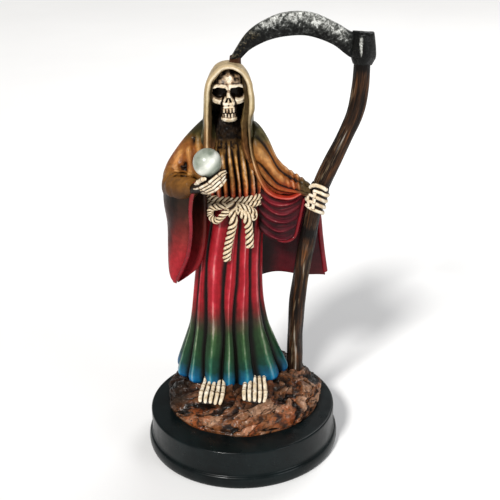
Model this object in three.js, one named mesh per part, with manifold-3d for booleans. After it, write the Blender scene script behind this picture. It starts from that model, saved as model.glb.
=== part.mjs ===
// A robed skeleton figure that holds a pearl and a long scythe, cast in one piece with its rocky mound,
// glued on a round black plinth. The pearl is a separate bead glued in the palm.
// Frame: millimetres, +Z up, the figure faces -Y, the origin is the centre of the plinth's underside.
import * as THREE from "three";
import { mergeVertices } from "three/addons/utils/BufferGeometryUtils.js";
import Module from "manifold-3d";

// Driving sizes, mm.
const PLINTH_HEIGHT = 18;
const PLINTH_WALL_RADIUS = 42.4;
const PLINTH_BEAD_RADIUS = 44;
const PLINTH_BEAD_HEIGHT = 6;
const PLINTH_EDGE_ROUND = 0.8;
const CAST_HEIGHT = 180;
const PLINTH_BEAD_CHAMFER = 0.9;
const MOUND_SETBACK = 0.7;
const STAFF_DIAMETER = 7;
const BLADE_THICKNESS = 3.2;
const ROPE_DIAMETER = 3.2;
const SHEET_THICKNESS = 2;
const PEARL_DIAMETER = 11.7;
const PEARL_CLEARANCE = 0.3;

// The casting is drawn 180 units high, from the plinth's top to the back of the blade.
const DRAWN_HEIGHT = 180;
const UNIT = CAST_HEIGHT / DRAWN_HEIGHT;

const wasm = await Module();
wasm.setup();

const TAU = 2 * Math.PI;
const mix = (a, b, t) => a + (b - a) * t;
const clamp = (v, low, high) => Math.min(high, Math.max(low, v));

// A point of the drawing as a point of the row.
const place = ([x, y, z]) => [x * UNIT, y * UNIT, PLINTH_HEIGHT + z * UNIT];

// A real size as a size of the drawing.
const drawn = (size) => size / UNIT;

// Reads a table whose first column grows: every other column at one value of the first, smoothly.
function look(table, at) {
  const last = table.length - 1;
  const u = clamp(at, table[0][0], table[last][0]);
  let i = 0;
  while (i < last - 1 && u > table[i + 1][0]) i += 1;
  const [p, q] = [table[i], table[i + 1]];
  const before = table[Math.max(i - 1, 0)];
  const after = table[Math.min(i + 2, last)];
  const span = q[0] - p[0];
  const t = (u - p[0]) / span;
  return p.slice(1).map((value, k) => {
    const c = k + 1;
    const slopeIn = (q[c] - before[c]) / Math.max(q[0] - before[0], 1e-9);
    const slopeOut = (after[c] - p[c]) / Math.max(after[0] - p[0], 1e-9);
    const [t2, t3] = [t ** 2, t ** 3];
    const ends = (2 * t3 - 3 * t2 + 1) * value + (3 * t2 - 2 * t3) * q[c];
    return ends + span * ((t3 - 2 * t2 + t) * slopeIn + (t3 - t2) * slopeOut);
  });
}

// A closed solid from rings of equal length, in drawn units. Its ends are closed by a fan, or by a strip
// where a ring is a sheet's two sides, there and back; with ends "none" the last ring meets the first.
function loft(rings, ends = "fan") {
  const count = rings[0].length;
  const middle = (ring) =>
    [0, 1, 2].map((k) => (Math.min(...ring.map((p) => p[k])) + Math.max(...ring.map((p) => p[k]))) / 2);
  const points = rings.flat();
  const faces = [];
  const bands = ends === "none" ? rings.length : rings.length - 1;
  for (let r = 0; r < bands; r += 1) {
    const up = (r + 1) % rings.length;
    for (let i = 0; i < count; i += 1) {
      const j = (i + 1) % count;
      const [a, b, c, d] = [r * count + i, r * count + j, up * count + j, up * count + i];
      faces.push([a, b, c], [a, c, d]);
    }
  }
  const top = (rings.length - 1) * count;
  if (ends === "fan") {
    points.push(middle(rings[0]), middle(rings[rings.length - 1]));
    const low = rings.length * count;
    for (let i = 0; i < count; i += 1) {
      const j = (i + 1) % count;
      faces.push([low, j, i], [low + 1, top + i, top + j]);
    }
  }
  if (ends === "strip") {
    for (let i = 0; i + 1 < count / 2; i += 1) {
      const [a, b, c, d] = [i, i + 1, count - 2 - i, count - 1 - i];
      if (b !== c) faces.push([a, c, b], [top + a, top + b, top + c]);
      faces.push([a, d, c], [top + a, top + c, top + d]);
    }
  }
  const geometry = new THREE.BufferGeometry();
  geometry.setAttribute("position", new THREE.Float32BufferAttribute(points.map(place).flat(), 3));
  geometry.setIndex(faces.flat());
  return solid(geometry);
}

// A geometry as a solid whose faces look outwards.
function solid(geometry) {
  const bare = geometry.clone();
  bare.deleteAttribute("normal");
  bare.deleteAttribute("uv");
  const { attributes, index } = mergeVertices(bare, 1e-4);
  const corners = Array.from(index.array);
  const build = (triVerts) =>
    new wasm.Manifold(new wasm.Mesh({ numProp: 3, vertProperties: attributes.position.array, triVerts }));
  const made = build(new Uint32Array(corners));
  if (made.volume() > 0) return made;
  const turned = corners.map((_, i) => corners[i - (i % 3) + [0, 2, 1][i % 3]]);
  return build(new Uint32Array(turned));
}

// Sections of a sweep, in shares of its half width and half height.
const round = (sides, swell = () => 1, twist = 0) => (step, share) =>
  Array.from({ length: sides }, (_, i) => {
    const a = (TAU * (i + twist * step)) / sides;
    const r = swell(share, a);
    return [r * Math.cos(a), r * Math.sin(a)];
  });
// Side by side ridges, like the bones of a hand, on a flat back.
const ridged = (count, depth = 0.8) => () => {
  const ridges = Array.from({ length: count }, (_, i) => {
    const across = (share) => 1 - (2 * (i + share)) / count;
    const gap = i < count - 1 ? [[across(1), 0.35]] : [];
    return [[across(0.28), 1], [across(0.72), 1], ...gap];
  }).flat();
  return [[1, 0.1], ...ridges, [-1, 0.1], [-0.8, -depth], [0.8, -depth]];
};

// A solid swept along a smooth path. A stop is [x, y, z, half width, half height], the last if it differs.
function sweep(stops, section, steps, up = [0, 0, 1]) {
  const table = stops.map((stop, i) => [i, ...stop.slice(0, 3), stop[3], stop[4] ?? stop[3]]);
  const last = stops.length - 1;
  const rings = [];
  for (let s = 0; s <= steps; s += 1) {
    const at = (last * s) / steps;
    const [x, y, z, wide, high] = look(table, at);
    const from = look(table, Math.max(at - 0.02, 0));
    const to = look(table, Math.min(at + 0.02, last));
    const along = new THREE.Vector3(to[0] - from[0], to[1] - from[1], to[2] - from[2]).normalize();
    const side = new THREE.Vector3().crossVectors(new THREE.Vector3(...up), along).normalize();
    const rise = new THREE.Vector3().crossVectors(along, side);
    rings.push(
      section(s, s / steps).map(([across, above]) => {
        const [c, d] = [wide * across, high * above];
        return [x + c * side.x + d * rise.x, y + c * side.y + d * rise.y, z + c * side.z + d * rise.z];
      }),
    );
  }
  return loft(rings);
}

const join = (pieces) => pieces.reduce((all, piece) => all.add(piece));

// Cloth that hangs in folds: the angles of the valleys, and samples that lie on each valley and ridge.
function foldColumns(valleys, shares) {
  return valleys.flatMap((angle, k) => {
    const next = k + 1 < valleys.length ? valleys[k + 1] : valleys[0] + TAU;
    return shares.map((s) => [mix(angle, next, s), s]);
  });
}
const foldHeight = (s) => Math.sin(Math.PI * s) ** 0.6;

// Skirt: height, centre x, half width, centre y, half depth, fold depth.
const SKIRT = [
  [13, -4.4, 26.4, 11.0, 19.0, 0.15],
  [15, -4.5, 26.2, 10.8, 18.8, 0.15],
  [21.5, -4.9, 23.8, 9.6, 16.8, 0.15],
  [30, -5.1, 20.9, 8.4, 15.0, 0.14],
  [38.5, -5.3, 18.3, 7.4, 13.6, 0.13],
  [55, -5.3, 15.9, 5.6, 11.8, 0.11],
  [75, -4.0, 14.5, 4.0, 10.3, 0.1],
  [98, -1.2, 13.3, 3.0, 9.2, 0.07],
];
// Valleys of the skirt as angles from the front: at the hem, and at the waist.
const SKIRT_VALLEYS = [
  [-2.75, -2.7],
  [-2.1, -2.15],
  [-1.5, -1.5],
  [-1.0, -1.12],
  [-0.56, -0.78],
  [-0.2, -0.1],
  [0.08, 0.24],
  [0.46, 0.74],
  [1.15, 1.25],
  [1.7, 1.75],
  [2.3, 2.25],
  [2.85, 2.8],
];
function skirt() {
  const heights = [12.4, 13.6, 18, 26, 37, 52, 74, 98];
  return loft(
    heights.map((z) => {
      const [cx, a, cy, b, depth] = look(SKIRT, z);
      const share = clamp((z - 13) / 50, 0, 1);
      const valleys = SKIRT_VALLEYS.map(([hem, waist]) => mix(hem, waist, share));
      const tuck = z < 13 ? 0.965 : 1;
      return foldColumns(valleys, [0, 0.18, 0.5, 0.82]).map(([angle, s]) => {
        const r = (1 - depth * (1 - foldHeight(s))) * tuck;
        const sag = z < 14 ? -0.5 * foldHeight(s) : 0;
        return [cx + a * r * Math.sin(angle), cy - b * r * Math.cos(angle), z + sag];
      });
    }),
  );
}

// Chest of the robe, bloused over the belt, and the mantle's back: the same columns as the skirt.
const CHEST = [
  [97, -1.2, 12.6, 3.2, 8.9, 0.04],
  [101, -1.2, 13.4, 3.2, 9.4, 0.05],
  [105, -1.3, 15.0, 3.6, 11.0, 0.09],
  [111, -1.5, 15.2, 4.0, 11.2, 0.09],
  [119, -2.2, 14.6, 4.2, 10.8, 0.06],
  [125, -2.6, 13.2, 4.0, 9.6, 0.02],
  [135, -2.8, 8.4, 3.6, 7.2, 0.0],
  [139, -2.6, 4.2, 3.0, 5.0, 0.0],
];
const CHEST_VALLEYS = [-2.5, -1.7, -1.1, -0.74, -0.43, -0.16, 0.08, 0.32, 0.58, 0.9, 1.5, 2.3];
function chest() {
  return loft(
    [97, 102.5, 105, 113, 123, 139].map((z) => {
      const [cx, a, cy, b, depth] = look(CHEST, z);
      return foldColumns(CHEST_VALLEYS, [0, 0.3, 0.7]).map(([angle, s]) => {
        const r = 1 - depth * (1 - foldHeight(s));
        return [cx + a * r * Math.sin(angle), cy - b * r * Math.cos(angle), z];
      });
    }),
  );
}

// Upright rounded rings: height, centre x, half width, centre y, half depth.
function column(table, heights, sides) {
  return loft(
    heights.map((z) => {
      const [cx, a, cy, b] = look(table, z);
      return Array.from({ length: sides }, (_, i) => {
        const angle = (TAU * i) / sides;
        return [cx + a * Math.cos(angle), cy + b * Math.sin(angle), z];
      });
    }),
  );
}

// Hood: height, centre x, half width, y of its back, y of its open front. It is round behind.
const HOOD = [
  [118, -3.6, 13.0, 15.0, -5.4],
  [128, -3.6, 12.0, 15.2, -5.6],
  [136, -3.0, 10.5, 14.9, -5.8],
  [145, -2.6, 10.4, 14.8, -5.8],
  [150, -2.6, 9.9, 14.4, -5.6],
  [154, -2.5, 8.4, 13.2, -5.2],
  [157.4, -2.5, 5.8, 11.0, -4.4],
  [159.3, -2.4, 3.4, 8.4, -2.6],
  [160, -2.4, 1.0, 5.6, 1.6],
];
function hood() {
  const around = 12;
  return loft(
    [118, 130, 139, 147, 152, 155.4, 158, 159.8].map((z) => {
      const [cx, half, back, front] = look(HOOD, z);
      const middle = mix(front, back, 0.45);
      const rear = Array.from({ length: around }, (_, i) => {
        const a = (Math.PI * i) / (around - 1);
        return [cx + half * Math.cos(a), middle + (back - middle) * Math.sin(a), z];
      });
      const lip = [-0.97, -0.78, 0, 0.78, 0.97].map((f) => [
        cx + half * f,
        front + (Math.abs(f) > 0.9 ? 1.4 : 0),
        z,
      ]);
      return [...rear, ...lip];
    }),
  );
}
const HOOD_CAVITY = [
  [123, -4.6, 4.6, -7.5, 2.4],
  [130, -4.3, 6.2, -6.5, 4.6],
  [137, -3.2, 7.8, -4.5, 8.6],
  [145, -2.3, 8.3, -4.0, 9.4],
  [150, -2.1, 8.0, -4.0, 9.0],
  [154, -2.3, 6.5, -4.0, 8.0],
  [157, -2.7, 4.0, -4.4, 5.6],
  [158.3, -2.9, 1.4, -4.6, 2.6],
];

// Skull: height, half width, y of the front of the bone.
const SKULL = [
  [136.4, 2.4, -5.4],
  [137.6, 3.5, -6.6],
  [139.6, 3.9, -6.9],
  [141.6, 4.0, -7.0],
  [143.6, 4.6, -6.9],
  [145.2, 6.9, -6.7],
  [147.4, 7.2, -6.6],
  [150.4, 7.1, -6.5],
  [153.4, 6.6, -5.6],
  [156.2, 4.9, -3.6],
  [158.4, 2.0, -0.8],
];
const SKULL_X = -2.4;
const bump = (x, z, cx, cz, wx, wz, power = 2) =>
  Math.exp(-(Math.abs((x - cx) / wx) ** power) - Math.abs((z - cz) / wz) ** power);
function skullFront(x, z, half, front) {
  const q = clamp(Math.abs(x) / half, 0, 1);
  let y = front + 5.2 * (1 - Math.sqrt(1 - 0.96 * q ** 2.2));
  y += 3.4 * bump(Math.abs(x), z, 3.2, 148.5, 2.35, 1.85, 4);
  y += 1.9 * bump(x, z, 0, 145.6, 1.1 + 0.25 * clamp(146 - z, -2, 2), 1.6, 3);
  y -= 0.7 * bump(x, z, 0, 148.3, 0.8, 1.3);
  y -= 0.9 * bump(Math.abs(x), z, 5.2, 145.4, 1.7, 1.0);
  y -= 0.7 * bump(Math.abs(x), z, 3.2, 151.2, 3.0, 0.7);
  y += 0.8 * bump(x, z, 0, 141.8, 3.2, 0.35);
  return y;
}
function skull() {
  const heights = [
    136.4, 137.8, 141.2, 141.8, 142.5, 144, 145.4, 146.6, 148.2, 149.6, 150.6, 152.2, 155.2, 158.2,
  ];
  const fractions = [-1, -0.86, -0.7, -0.5, -0.3, -0.14, 0, 0.14, 0.3, 0.5, 0.7, 0.86, 1];
  return loft(
    heights.map((z) => {
      const [half, front] = look(SKULL, z);
      const face = fractions.map((f) => [SKULL_X + f * half, skullFront(f * half, z, half, front), z]);
      const back = [0.8, 0, -0.8].map((f) => [SKULL_X + f * half, 4.5 - f * f, z]);
      return [...face, ...back];
    }),
  );
}

// Rim of the hood, down both sides of the chest; on the staff's side it goes on as the shawl's hem.
const RIM = [
  [-12.4, -9.0, 116, 1.0],
  [-12.2, -8.0, 124, 1.2],
  [-11.9, -7.0, 134, 1.2],
  [-11.6, -6.4, 145, 1.1],
  [-10.5, -5.9, 151.5, 1.1],
  [-7.4, -5.2, 156.4, 1.1],
  [-2.9, -4.8, 158.3, 1.1],
  [1.6, -5.1, 157.0, 1.1],
  [5.0, -5.6, 153.4, 1.1],
  [6.4, -6.2, 148.4, 1.2],
  [6.3, -6.8, 141, 1.4],
  [5.0, -7.2, 134, 1.7],
  [5.6, -7.6, 127, 1.7],
  [7.2, -8.0, 120.5, 1.4],
  [9.6, -8.2, 113.6, 1.2],
  [13.0, -8.2, 107.6, 1.1],
  [18.0, -8.0, 104.7, 1.0],
  [23.0, -7.2, 104.1, 0.9],
  [27.4, -5.6, 105.8, 0.8],
];

// Arm that carries the pearl, under the mantle: shoulder, elbow, cuff.
const PEARL_ARM = [
  [-5.0, 5.0, 134, 7.0, 6.0],
  [-9.5, 4.8, 129, 8.8, 7.5],
  [-15.5, 3.6, 121, 9.6, 9.0],
  [-21.2, 1.0, 112.5, 9.8, 9.4],
  [-23.6, -4.2, 108.8, 8.2, 7.4],
  [-22.0, -9.8, 110.2, 6.0, 5.6],
  [-19.2, -14.0, 112.8, 3.9, 3.7],
  [-17.8, -15.8, 113.8, 2.8, 2.7],
];

// Sleeve that hangs from it: height, front mouth edge x y, outermost x y, back edge x y.
const PEARL_SLEEVE = [
  [64.2, -27.5, -5.6, -28.6, -4.6, -26.6, -4.4],
  [67, -26.9, -6.4, -30.0, -3.4, -22.0, -3.6],
  [71.7, -24.6, -8.0, -30.6, -2.2, -17.2, -4.2],
  [79.7, -21.6, -10.0, -30.5, -1.4, -14.4, -4.8],
  [92, -19.8, -12.2, -30.3, -0.4, -12.9, -5.2],
  [102, -19.4, -14.0, -31.5, 0.6, -12.6, -5.2],
  [111, -18.4, -15.0, -31.4, 1.4, -13.0, -4.6],
];
function pearlSleeve() {
  const heights = [64.2, 65.4, 67.5, 71.5, 78, 86, 95, 103, 110];
  return loft(
    heights.map((z) => {
      const [fx, fy, ox, oy, bx, by] = look(PEARL_SLEEVE, z);
      const arc = (p, k, q, t) => (1 - t) ** 2 * p + 2 * t * (1 - t) * k + t ** 2 * q;
      const outer = [0, 0.25, 0.5, 0.75, 1].map((t) => [arc(fx, ox - 0.6, ox, t), arc(fy, fy + 0.6, oy, t)]);
      const rear = [0.25, 0.5, 0.75, 1].map((t) => [arc(ox, ox + 0.8, bx, t), arc(oy, oy + 6.5, by, t)]);
      const line = [...outer, ...rear];
      const reach = Math.hypot(fx - ox, fy - oy);
      const wall = Math.min(drawn(SHEET_THICKNESS) * 0.9, 0.3 * reach);
      const inner = line.map(([x, y], i) => {
        const p = line[Math.max(i - 1, 0)];
        const q = line[Math.min(i + 1, line.length - 1)];
        const n = Math.hypot(q[0] - p[0], q[1] - p[1]) || 1;
        return [x + (wall * (q[1] - p[1])) / n, y - (wall * (q[0] - p[0])) / n];
      });
      return [...line, ...inner.reverse()].map(([x, y]) => [x, y, z]);
    }),
    "strip",
  );
}

// Shawl over the arm that holds the staff: x, centre y, centre height, half depth, half height.
const SHAWL = [
  [0, 3.4, 124.0, 9.4, 11.0],
  [6, 2.6, 123.6, 9.6, 12.2],
  [10, 1.4, 121.4, 9.4, 12.2],
  [13.5, 0.0, 117.0, 8.4, 11.4],
  [17, -1.6, 112.4, 7.0, 8.2],
  [20, -2.4, 110.4, 6.0, 6.3],
  [24, -3.0, 108.6, 4.9, 4.6],
  [28, -3.5, 107.2, 4.0, 3.5],
  [31, -3.8, 105.6, 3.3, 2.9],
];
const SHAWL_VALLEYS = [-2.9, -2.35, -1.85, -1.35, -0.75, 0.1, 1.2, 2.4];
function shawl() {
  return loft(
    [0, 5, 9, 12, 14.5, 17, 20.5, 25, 31].map((x) => {
      const [cy, cz, b, c] = look(SHAWL, x);
      const depth = 0.09 * clamp((x - 4) / 6, 0, 1);
      return foldColumns(SHAWL_VALLEYS, [0, 0.33, 0.67]).map(([angle, s]) => {
        const r = 1 - depth * (1 - foldHeight(s));
        return [x, cy + b * r * Math.cos(angle), cz + c * r * Math.sin(angle)];
      });
    }),
  );
}

// Festooned front of the wide sleeve: rows follow the sagging folds.
function sleeveFront() {
  const wall = drawn(SHEET_THICKNESS);
  const folds = 5;
  const rows = 2 * folds + 1;
  const edge = [
    [82, 23.4],
    [84.6, 24.5],
    [92, 26.2],
    [96, 27.0],
    [99, 27.9],
    [107, 29.0],
  ];
  const shares = [0, 0.14, 0.3, 0.48, 0.66, 0.83, 0.95, 1];
  return loft(
    Array.from({ length: rows }, (_, j) => {
      const high = mix(87.4, 107, j / (rows - 1));
      const ridge = j % 2 === 0 ? 0 : -1.1;
      const [right] = look(edge, high - 1.5);
      const front = shares.map((s) => {
        const x = mix(9, right, s);
        const sag = 4.8 * (1 - ((x - 19.4) / 9.5) ** 2);
        const bulge = -1.8 * Math.sin(Math.PI * s) + ridge * Math.sin(Math.PI * clamp(s * 1.05, 0, 1));
        return [x, -3.4 + bulge, high - sag];
      });
      const back = [1, 0.66, 0.3, 0].map((s) => {
        const x = mix(9, right, s);
        const sag = 4.8 * (1 - ((x - 19.4) / 9.5) ** 2);
        return [x, -3.4 + wall - 1.8 * Math.sin(Math.PI * s), high - sag];
      });
      return [...front, ...back];
    }),
  );
}

// Back of the wide sleeve: height, right edge x, y at the robe, y at the edge.
const SLEEVE_BACK = [
  [59.5, 39.0, 9.5, 8.6],
  [70, 37.6, 8.6, 7.4],
  [80, 36.4, 7.6, 6.2],
  [91, 35.2, 6.0, 4.2],
  [100, 33.4, 3.4, 1.2],
  [108, 30.0, -0.5, -1.8],
];
function sleeveBack() {
  const wall = drawn(SHEET_THICKNESS);
  const shares = [0, 0.2, 0.4, 0.6, 0.8, 0.93, 1];
  return loft(
    [60.4, 62, 70, 78, 86, 93, 100, 107].map((z) => {
      const [right, near, far] = look(SLEEVE_BACK, z);
      const fade = clamp((104 - z) / 30, 0, 1);
      const line = shares.map((s) => {
        const wave = 1.5 * Math.sin(s * 8.2 - 0.6) * fade;
        const lift = z < 61 ? 1.6 * Math.sin(Math.PI * s) - 0.9 * s : 0;
        return [mix(8, right, s), mix(near, far, s) + wave, z + lift];
      });
      return [...line, ...line.map(([x, y, h]) => [x, y + wall, h]).reverse()];
    }),
    "strip",
  );
}

// Bright rolled edges of the three sleeve mouths.
const MOUTH_EDGES = [
  [
    [-16.6, -15.8, 115, 1.1],
    [-18.6, -14.9, 108, 1.1],
    [-19.5, -13.8, 101, 1.0],
    [-19.8, -12.0, 91, 1.0],
    [-21.6, -9.9, 79.7, 1.0],
    [-24.6, -7.9, 71.7, 1.0],
    [-27.2, -5.9, 65.6, 0.9],
  ],
  [
    [28.6, -3.2, 102, 0.9],
    [27.7, -3.3, 97.5, 0.9],
    [26.3, -3.4, 91, 0.9],
    [24.6, -3.6, 84.8, 0.9],
    [21.5, -4.6, 83.0, 0.9],
    [17.5, -4.8, 83.6, 0.9],
    [13.0, -3.8, 87.0, 0.8],
  ],
  [
    [33.0, 1.9, 101, 1.1],
    [35.2, 5.2, 91, 1.2],
    [36.4, 7.6, 80, 1.2],
    [37.6, 9.4, 70, 1.2],
    [38.9, 10.4, 60.8, 1.2],
  ],
];

// Staff: path of its centre line.
const STAFF = [
  [24.9, 12.4, 6],
  [24.9, 10.0, 24],
  [25.4, 7.0, 38],
  [26.3, 4.3, 52.5],
  [27.6, 1.8, 65],
  [29.6, -1.2, 80],
  [31.9, -3.6, 94],
  [35.2, -4.0, 106.5],
  [40.5, -3.5, 119],
  [45.6, -2.7, 130],
  [49.4, -2.0, 139],
  [51.4, -1.2, 149],
  [52.1, -0.5, 158.5],
  [52.6, 0.0, 166],
];
const staffAt = (z) => look(STAFF.map(([x, y, h]) => [h, x, y]), z);
function staff() {
  const r = drawn(STAFF_DIAMETER) / 2;
  const knot = (t, a) => 1 + 0.05 * Math.sin(31 * t + 2 * a) + 0.05 * Math.sin(17 * t - 3 * a);
  return sweep(STAFF.map(([x, y, z]) => [x, y, z, r]), round(7, knot), 14, [0, 1, 0]);
}

// Blade: share of its length, back edge x z, cutting edge x z, y of its middle.
const BLADE = [
  [0, 50.5, 170.6, 49.0, 160.6, 0.0],
  [0.06, 46.8, 172.1, 46.2, 162.1, 0.0],
  [0.2, 41.4, 175.4, 40.0, 166.8, 0.2],
  [0.4, 31.6, 179.6, 30.4, 170.3, 0.7],
  [0.55, 22.6, 180.0, 22.6, 170.4, 1.2],
  [0.7, 14.4, 177.6, 14.6, 168.8, 1.7],
  [0.85, 5.6, 171.8, 7.2, 165.2, 2.4],
  [1, -1.4, 161.6, 3.0, 161.2, 3.0],
];
function blade() {
  const half = drawn(BLADE_THICKNESS) / 2;
  return loft(
    [0, 0.06, 0.14, 0.22, 0.32, 0.42, 0.52, 0.62, 0.72, 0.81, 0.9, 1].map((t) => {
      const [bx, bz, cx, cz, y] = look(BLADE, t);
      const across = [
        [0, -0.8],
        [0.25, -1],
        [1, -0.3],
        [1, 0.3],
        [0.25, 1],
        [0, 0.8],
      ];
      return across.map(([s, side]) => [mix(bx, cx, s), y + half * side, mix(bz, cz, s)]);
    }),
  );
}
function socket() {
  const girth = drawn(STAFF_DIAMETER) / 2;
  const stops = [
    [52.1, -0.4, 158.6, girth + 0.2],
    [52.3, -0.2, 160.6, girth + 1.0],
    [52.5, 0.0, 163, girth + 1.4],
    [52.3, 0.0, 170.7, girth + 0.9],
  ];
  const squarish = (share, a) => 1 + 0.06 * Math.cos(4 * a);
  return sweep(stops, round(12, squarish), 3, [0, 1, 0]);
}
const TIP_TAB = [
  [0.3, 4.2, 157.6, 2.9, 1.9],
  [0.5, 3.6, 159.6, 2.5, 1.5],
  [0.7, 3.0, 162.2, 2.3, 1.4],
];
const tipTab = () => sweep(TIP_TAB, round(8), 2, [0, 1, 0]);

// Hand under the pearl. Its seat is the lowest point of the pearl.
const PEARL_SEAT = [-11.4, -21.0, 119.2];
const PALM = [
  [-18.2, -14.6, 111.6, 2.5, 2.1],
  [-15.4, -17.4, 113.2, 3.0, 2.4],
  [-12.2, -19.8, 115.4, 3.8, 3.0],
  [-8.8, -21.4, 116.8, 3.4, 2.8],
];
const FINGERS = [
  [-15.8, -17.5, 112.5, 2.6, 1.3],
  [-13.2, -21.3, 114.0, 3.2, 1.4],
  [-10.2, -23.8, 116.2, 3.3, 1.4],
  [-7.5, -24.0, 118.5, 3.3, 1.3],
  [-5.4, -22.9, 120.3, 3.1, 1.2],
  [-4.2, -21.4, 121.0, 2.6, 0.9],
];
const THUMB = [
  [-16.6, -17.0, 113.8, 1.2],
  [-15.2, -21.0, 116.6, 1.2],
  [-13.6, -24.2, 118.9, 1.1],
  [-11.7, -26.2, 120.2, 0.9],
];
// The outer side of the fingers faces the front and the ground.
const FINGERS_OUT = [0, -0.88, -0.47];
function pearlHand() {
  const fingers = sweep(FINGERS, ridged(4), 6, FINGERS_OUT);
  return join([sweep(PALM, round(8), 4), fingers, sweep(THUMB, round(5), 3)]);
}

// Fist round the staff: four finger bones side by side wrapped round it, the thumb above them and the wrist.
const FIST_MIDDLE = 100.6;
const FIST_HALF = 5.6;
function fist() {
  const reach = drawn(STAFF_DIAMETER) / 2;
  const [x, y] = staffAt(FIST_MIDDLE);
  const lean = [0.24, -0.12, 1];
  const wrap = (shares, height, out) =>
    shares.map((share) => {
      const a = mix(-3.7, 0.9, share);
      const r = reach + out;
      const [dx, dy] = [r * Math.cos(a), r * Math.sin(a)];
      return [x + dx + lean[0] * height, y + dy + lean[1] * height, FIST_MIDDLE + height - 0.26 * dx];
    });
  const wide = (stops, half, thick) => stops.map((stop) => [...stop, half, thick]);
  const fingers = wide(wrap([0, 0.17, 0.34, 0.51, 0.68, 0.85, 1], 0, -0.2), FIST_HALF, 1.35);
  const thumb = wide(wrap([0.05, 0.25, 0.45, 0.65], FIST_HALF + 1.0, 0.2), 1.2, 1.2);
  const wrist = [
    [25.0, -2.0, 105.5, 2.4, 2.8],
    [28.2, -1.6, 104.0, 2.2, 3.2],
    [30.2, -2.2, 101.6, 2.0, 5.0],
    [31.8, -3.6, 100.8, 1.6, 4.8],
  ];
  return join([
    sweep(wrist, round(7), 3),
    sweepAcross(fingers, ridged(4, 2.2), 7, lean),
    sweepAcross(thumb, round(5), 4, lean),
  ]);
}
// A sweep whose half width lies along the given direction.
function sweepAcross(stops, section, steps, across) {
  const turned = (step, share) => section(step, share).map(([a, b]) => [-b, a]);
  return sweep(stops.map(([x, y, z, wide, high]) => [x, y, z, high, wide]), turned, steps, across);
}

// Feet: the rows of toe bones come out from under the hem.
const FEET = [
  [
    [-11.9, -1.0, 14.2, 5.1, 2.0],
    [-12.4, -5.2, 13.2, 5.4, 2.0],
    [-13.0, -9.0, 12.0, 5.9, 1.9],
    [-13.6, -12.8, 10.9, 6.2, 1.9],
    [-14.1, -16.0, 10.0, 6.0, 1.6],
    [-14.3, -17.8, 9.2, 5.4, 0.9],
  ],
  [
    [6.0, -1.0, 14.4, 5.0, 2.0],
    [6.0, -5.0, 13.4, 5.3, 2.0],
    [5.9, -8.8, 12.2, 5.8, 1.9],
    [5.8, -12.4, 11.1, 6.1, 1.9],
    [5.7, -15.6, 10.2, 5.9, 1.6],
    [5.6, -17.4, 9.4, 5.3, 0.9],
  ],
];
const feet = () => join(FEET.map((stops) => sweep(stops, ridged(5, 1.5), 5)));

// Rope belt: two turns round the waist, a bow and two hanging ends. The rope's section turns as it runs.
const WAIST_X = -1.2;
const WAIST_Y = 3.1;
const ROPE_SIDES = 4;
function rope(stops, steps, size = 1) {
  const r = (size * drawn(ROPE_DIAMETER)) / 2;
  return sweep(stops.map(([x, y, z]) => [x, y, z, r]), round(ROPE_SIDES, () => 1, 0.5), steps, [0, 0.2, 1]);
}
function beltTurns() {
  const r = (0.8 * drawn(ROPE_DIAMETER)) / 2;
  const steps = 20;
  const section = [
    [-1, -2.6],
    [0.7, -2.7],
    [1, -1.2],
    [0.5, -0.2],
    [1, 1.2],
    [0.7, 2.2],
    [-1, 2.2],
  ];
  return loft(
    Array.from({ length: steps }, (_, s) => {
      const a = (TAU * s) / steps;
      const lay = s % 2 === 0 ? 0.12 : -0.12;
      return section.map(([out, rise]) => {
        const d = r * (out + (out > 0 ? lay : 0));
        const z = 102.4 - 0.6 * Math.cos(a) + r * rise;
        return [WAIST_X + (13.5 + d) * Math.sin(a), WAIST_Y - (9.9 + d) * Math.cos(a), z];
      });
    }),
    "none",
  );
}
const BOW = {
  leftLoop: [
    [-2.6, -8.4, 101.8],
    [-7.0, -8.6, 101.2],
    [-11.0, -7.0, 99.6],
    [-11.2, -7.2, 96.0],
    [-8.8, -8.4, 94.6],
    [-6.2, -9.0, 97.2],
    [-3.2, -8.6, 100.4],
  ],
  rightLoop: [
    [-1.6, -8.6, 101.8],
    [3.0, -8.8, 100.6],
    [6.8, -7.6, 98.0],
    [6.6, -7.6, 95.4],
    [3.6, -8.8, 97.6],
    [-0.8, -8.8, 100.2],
  ],
  leftEnd: [
    [-3.0, -8.6, 101],
    [-1.7, -8.4, 95],
    [-2.6, -8.0, 90],
    [-4.0, -7.8, 84],
    [-5.0, -7.8, 78],
    [-5.0, -7.6, 75.4],
  ],
  rightEnd: [
    [0.8, -9.2, 99.6],
    [4.0, -8.6, 95],
    [4.7, -7.8, 90.4],
    [4.9, -7.6, 86],
    [4.8, -7.5, 81.4],
  ],
};
const KNOT = [
  [-4.6, -7.2, 101.6, 1.4],
  [-2.4, -8.6, 101.4, 2.3],
  [0.4, -7.4, 101.2, 1.4],
];
function belt() {
  return join([
    beltTurns(),
    sweep(KNOT, round(7), 3),
    rope(BOW.leftLoop, 9, 0.85),
    rope(BOW.rightLoop, 7, 0.85),
    rope(BOW.leftEnd, 7, 1.1),
    rope(BOW.rightEnd, 5, 1.1),
  ]);
}

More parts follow.
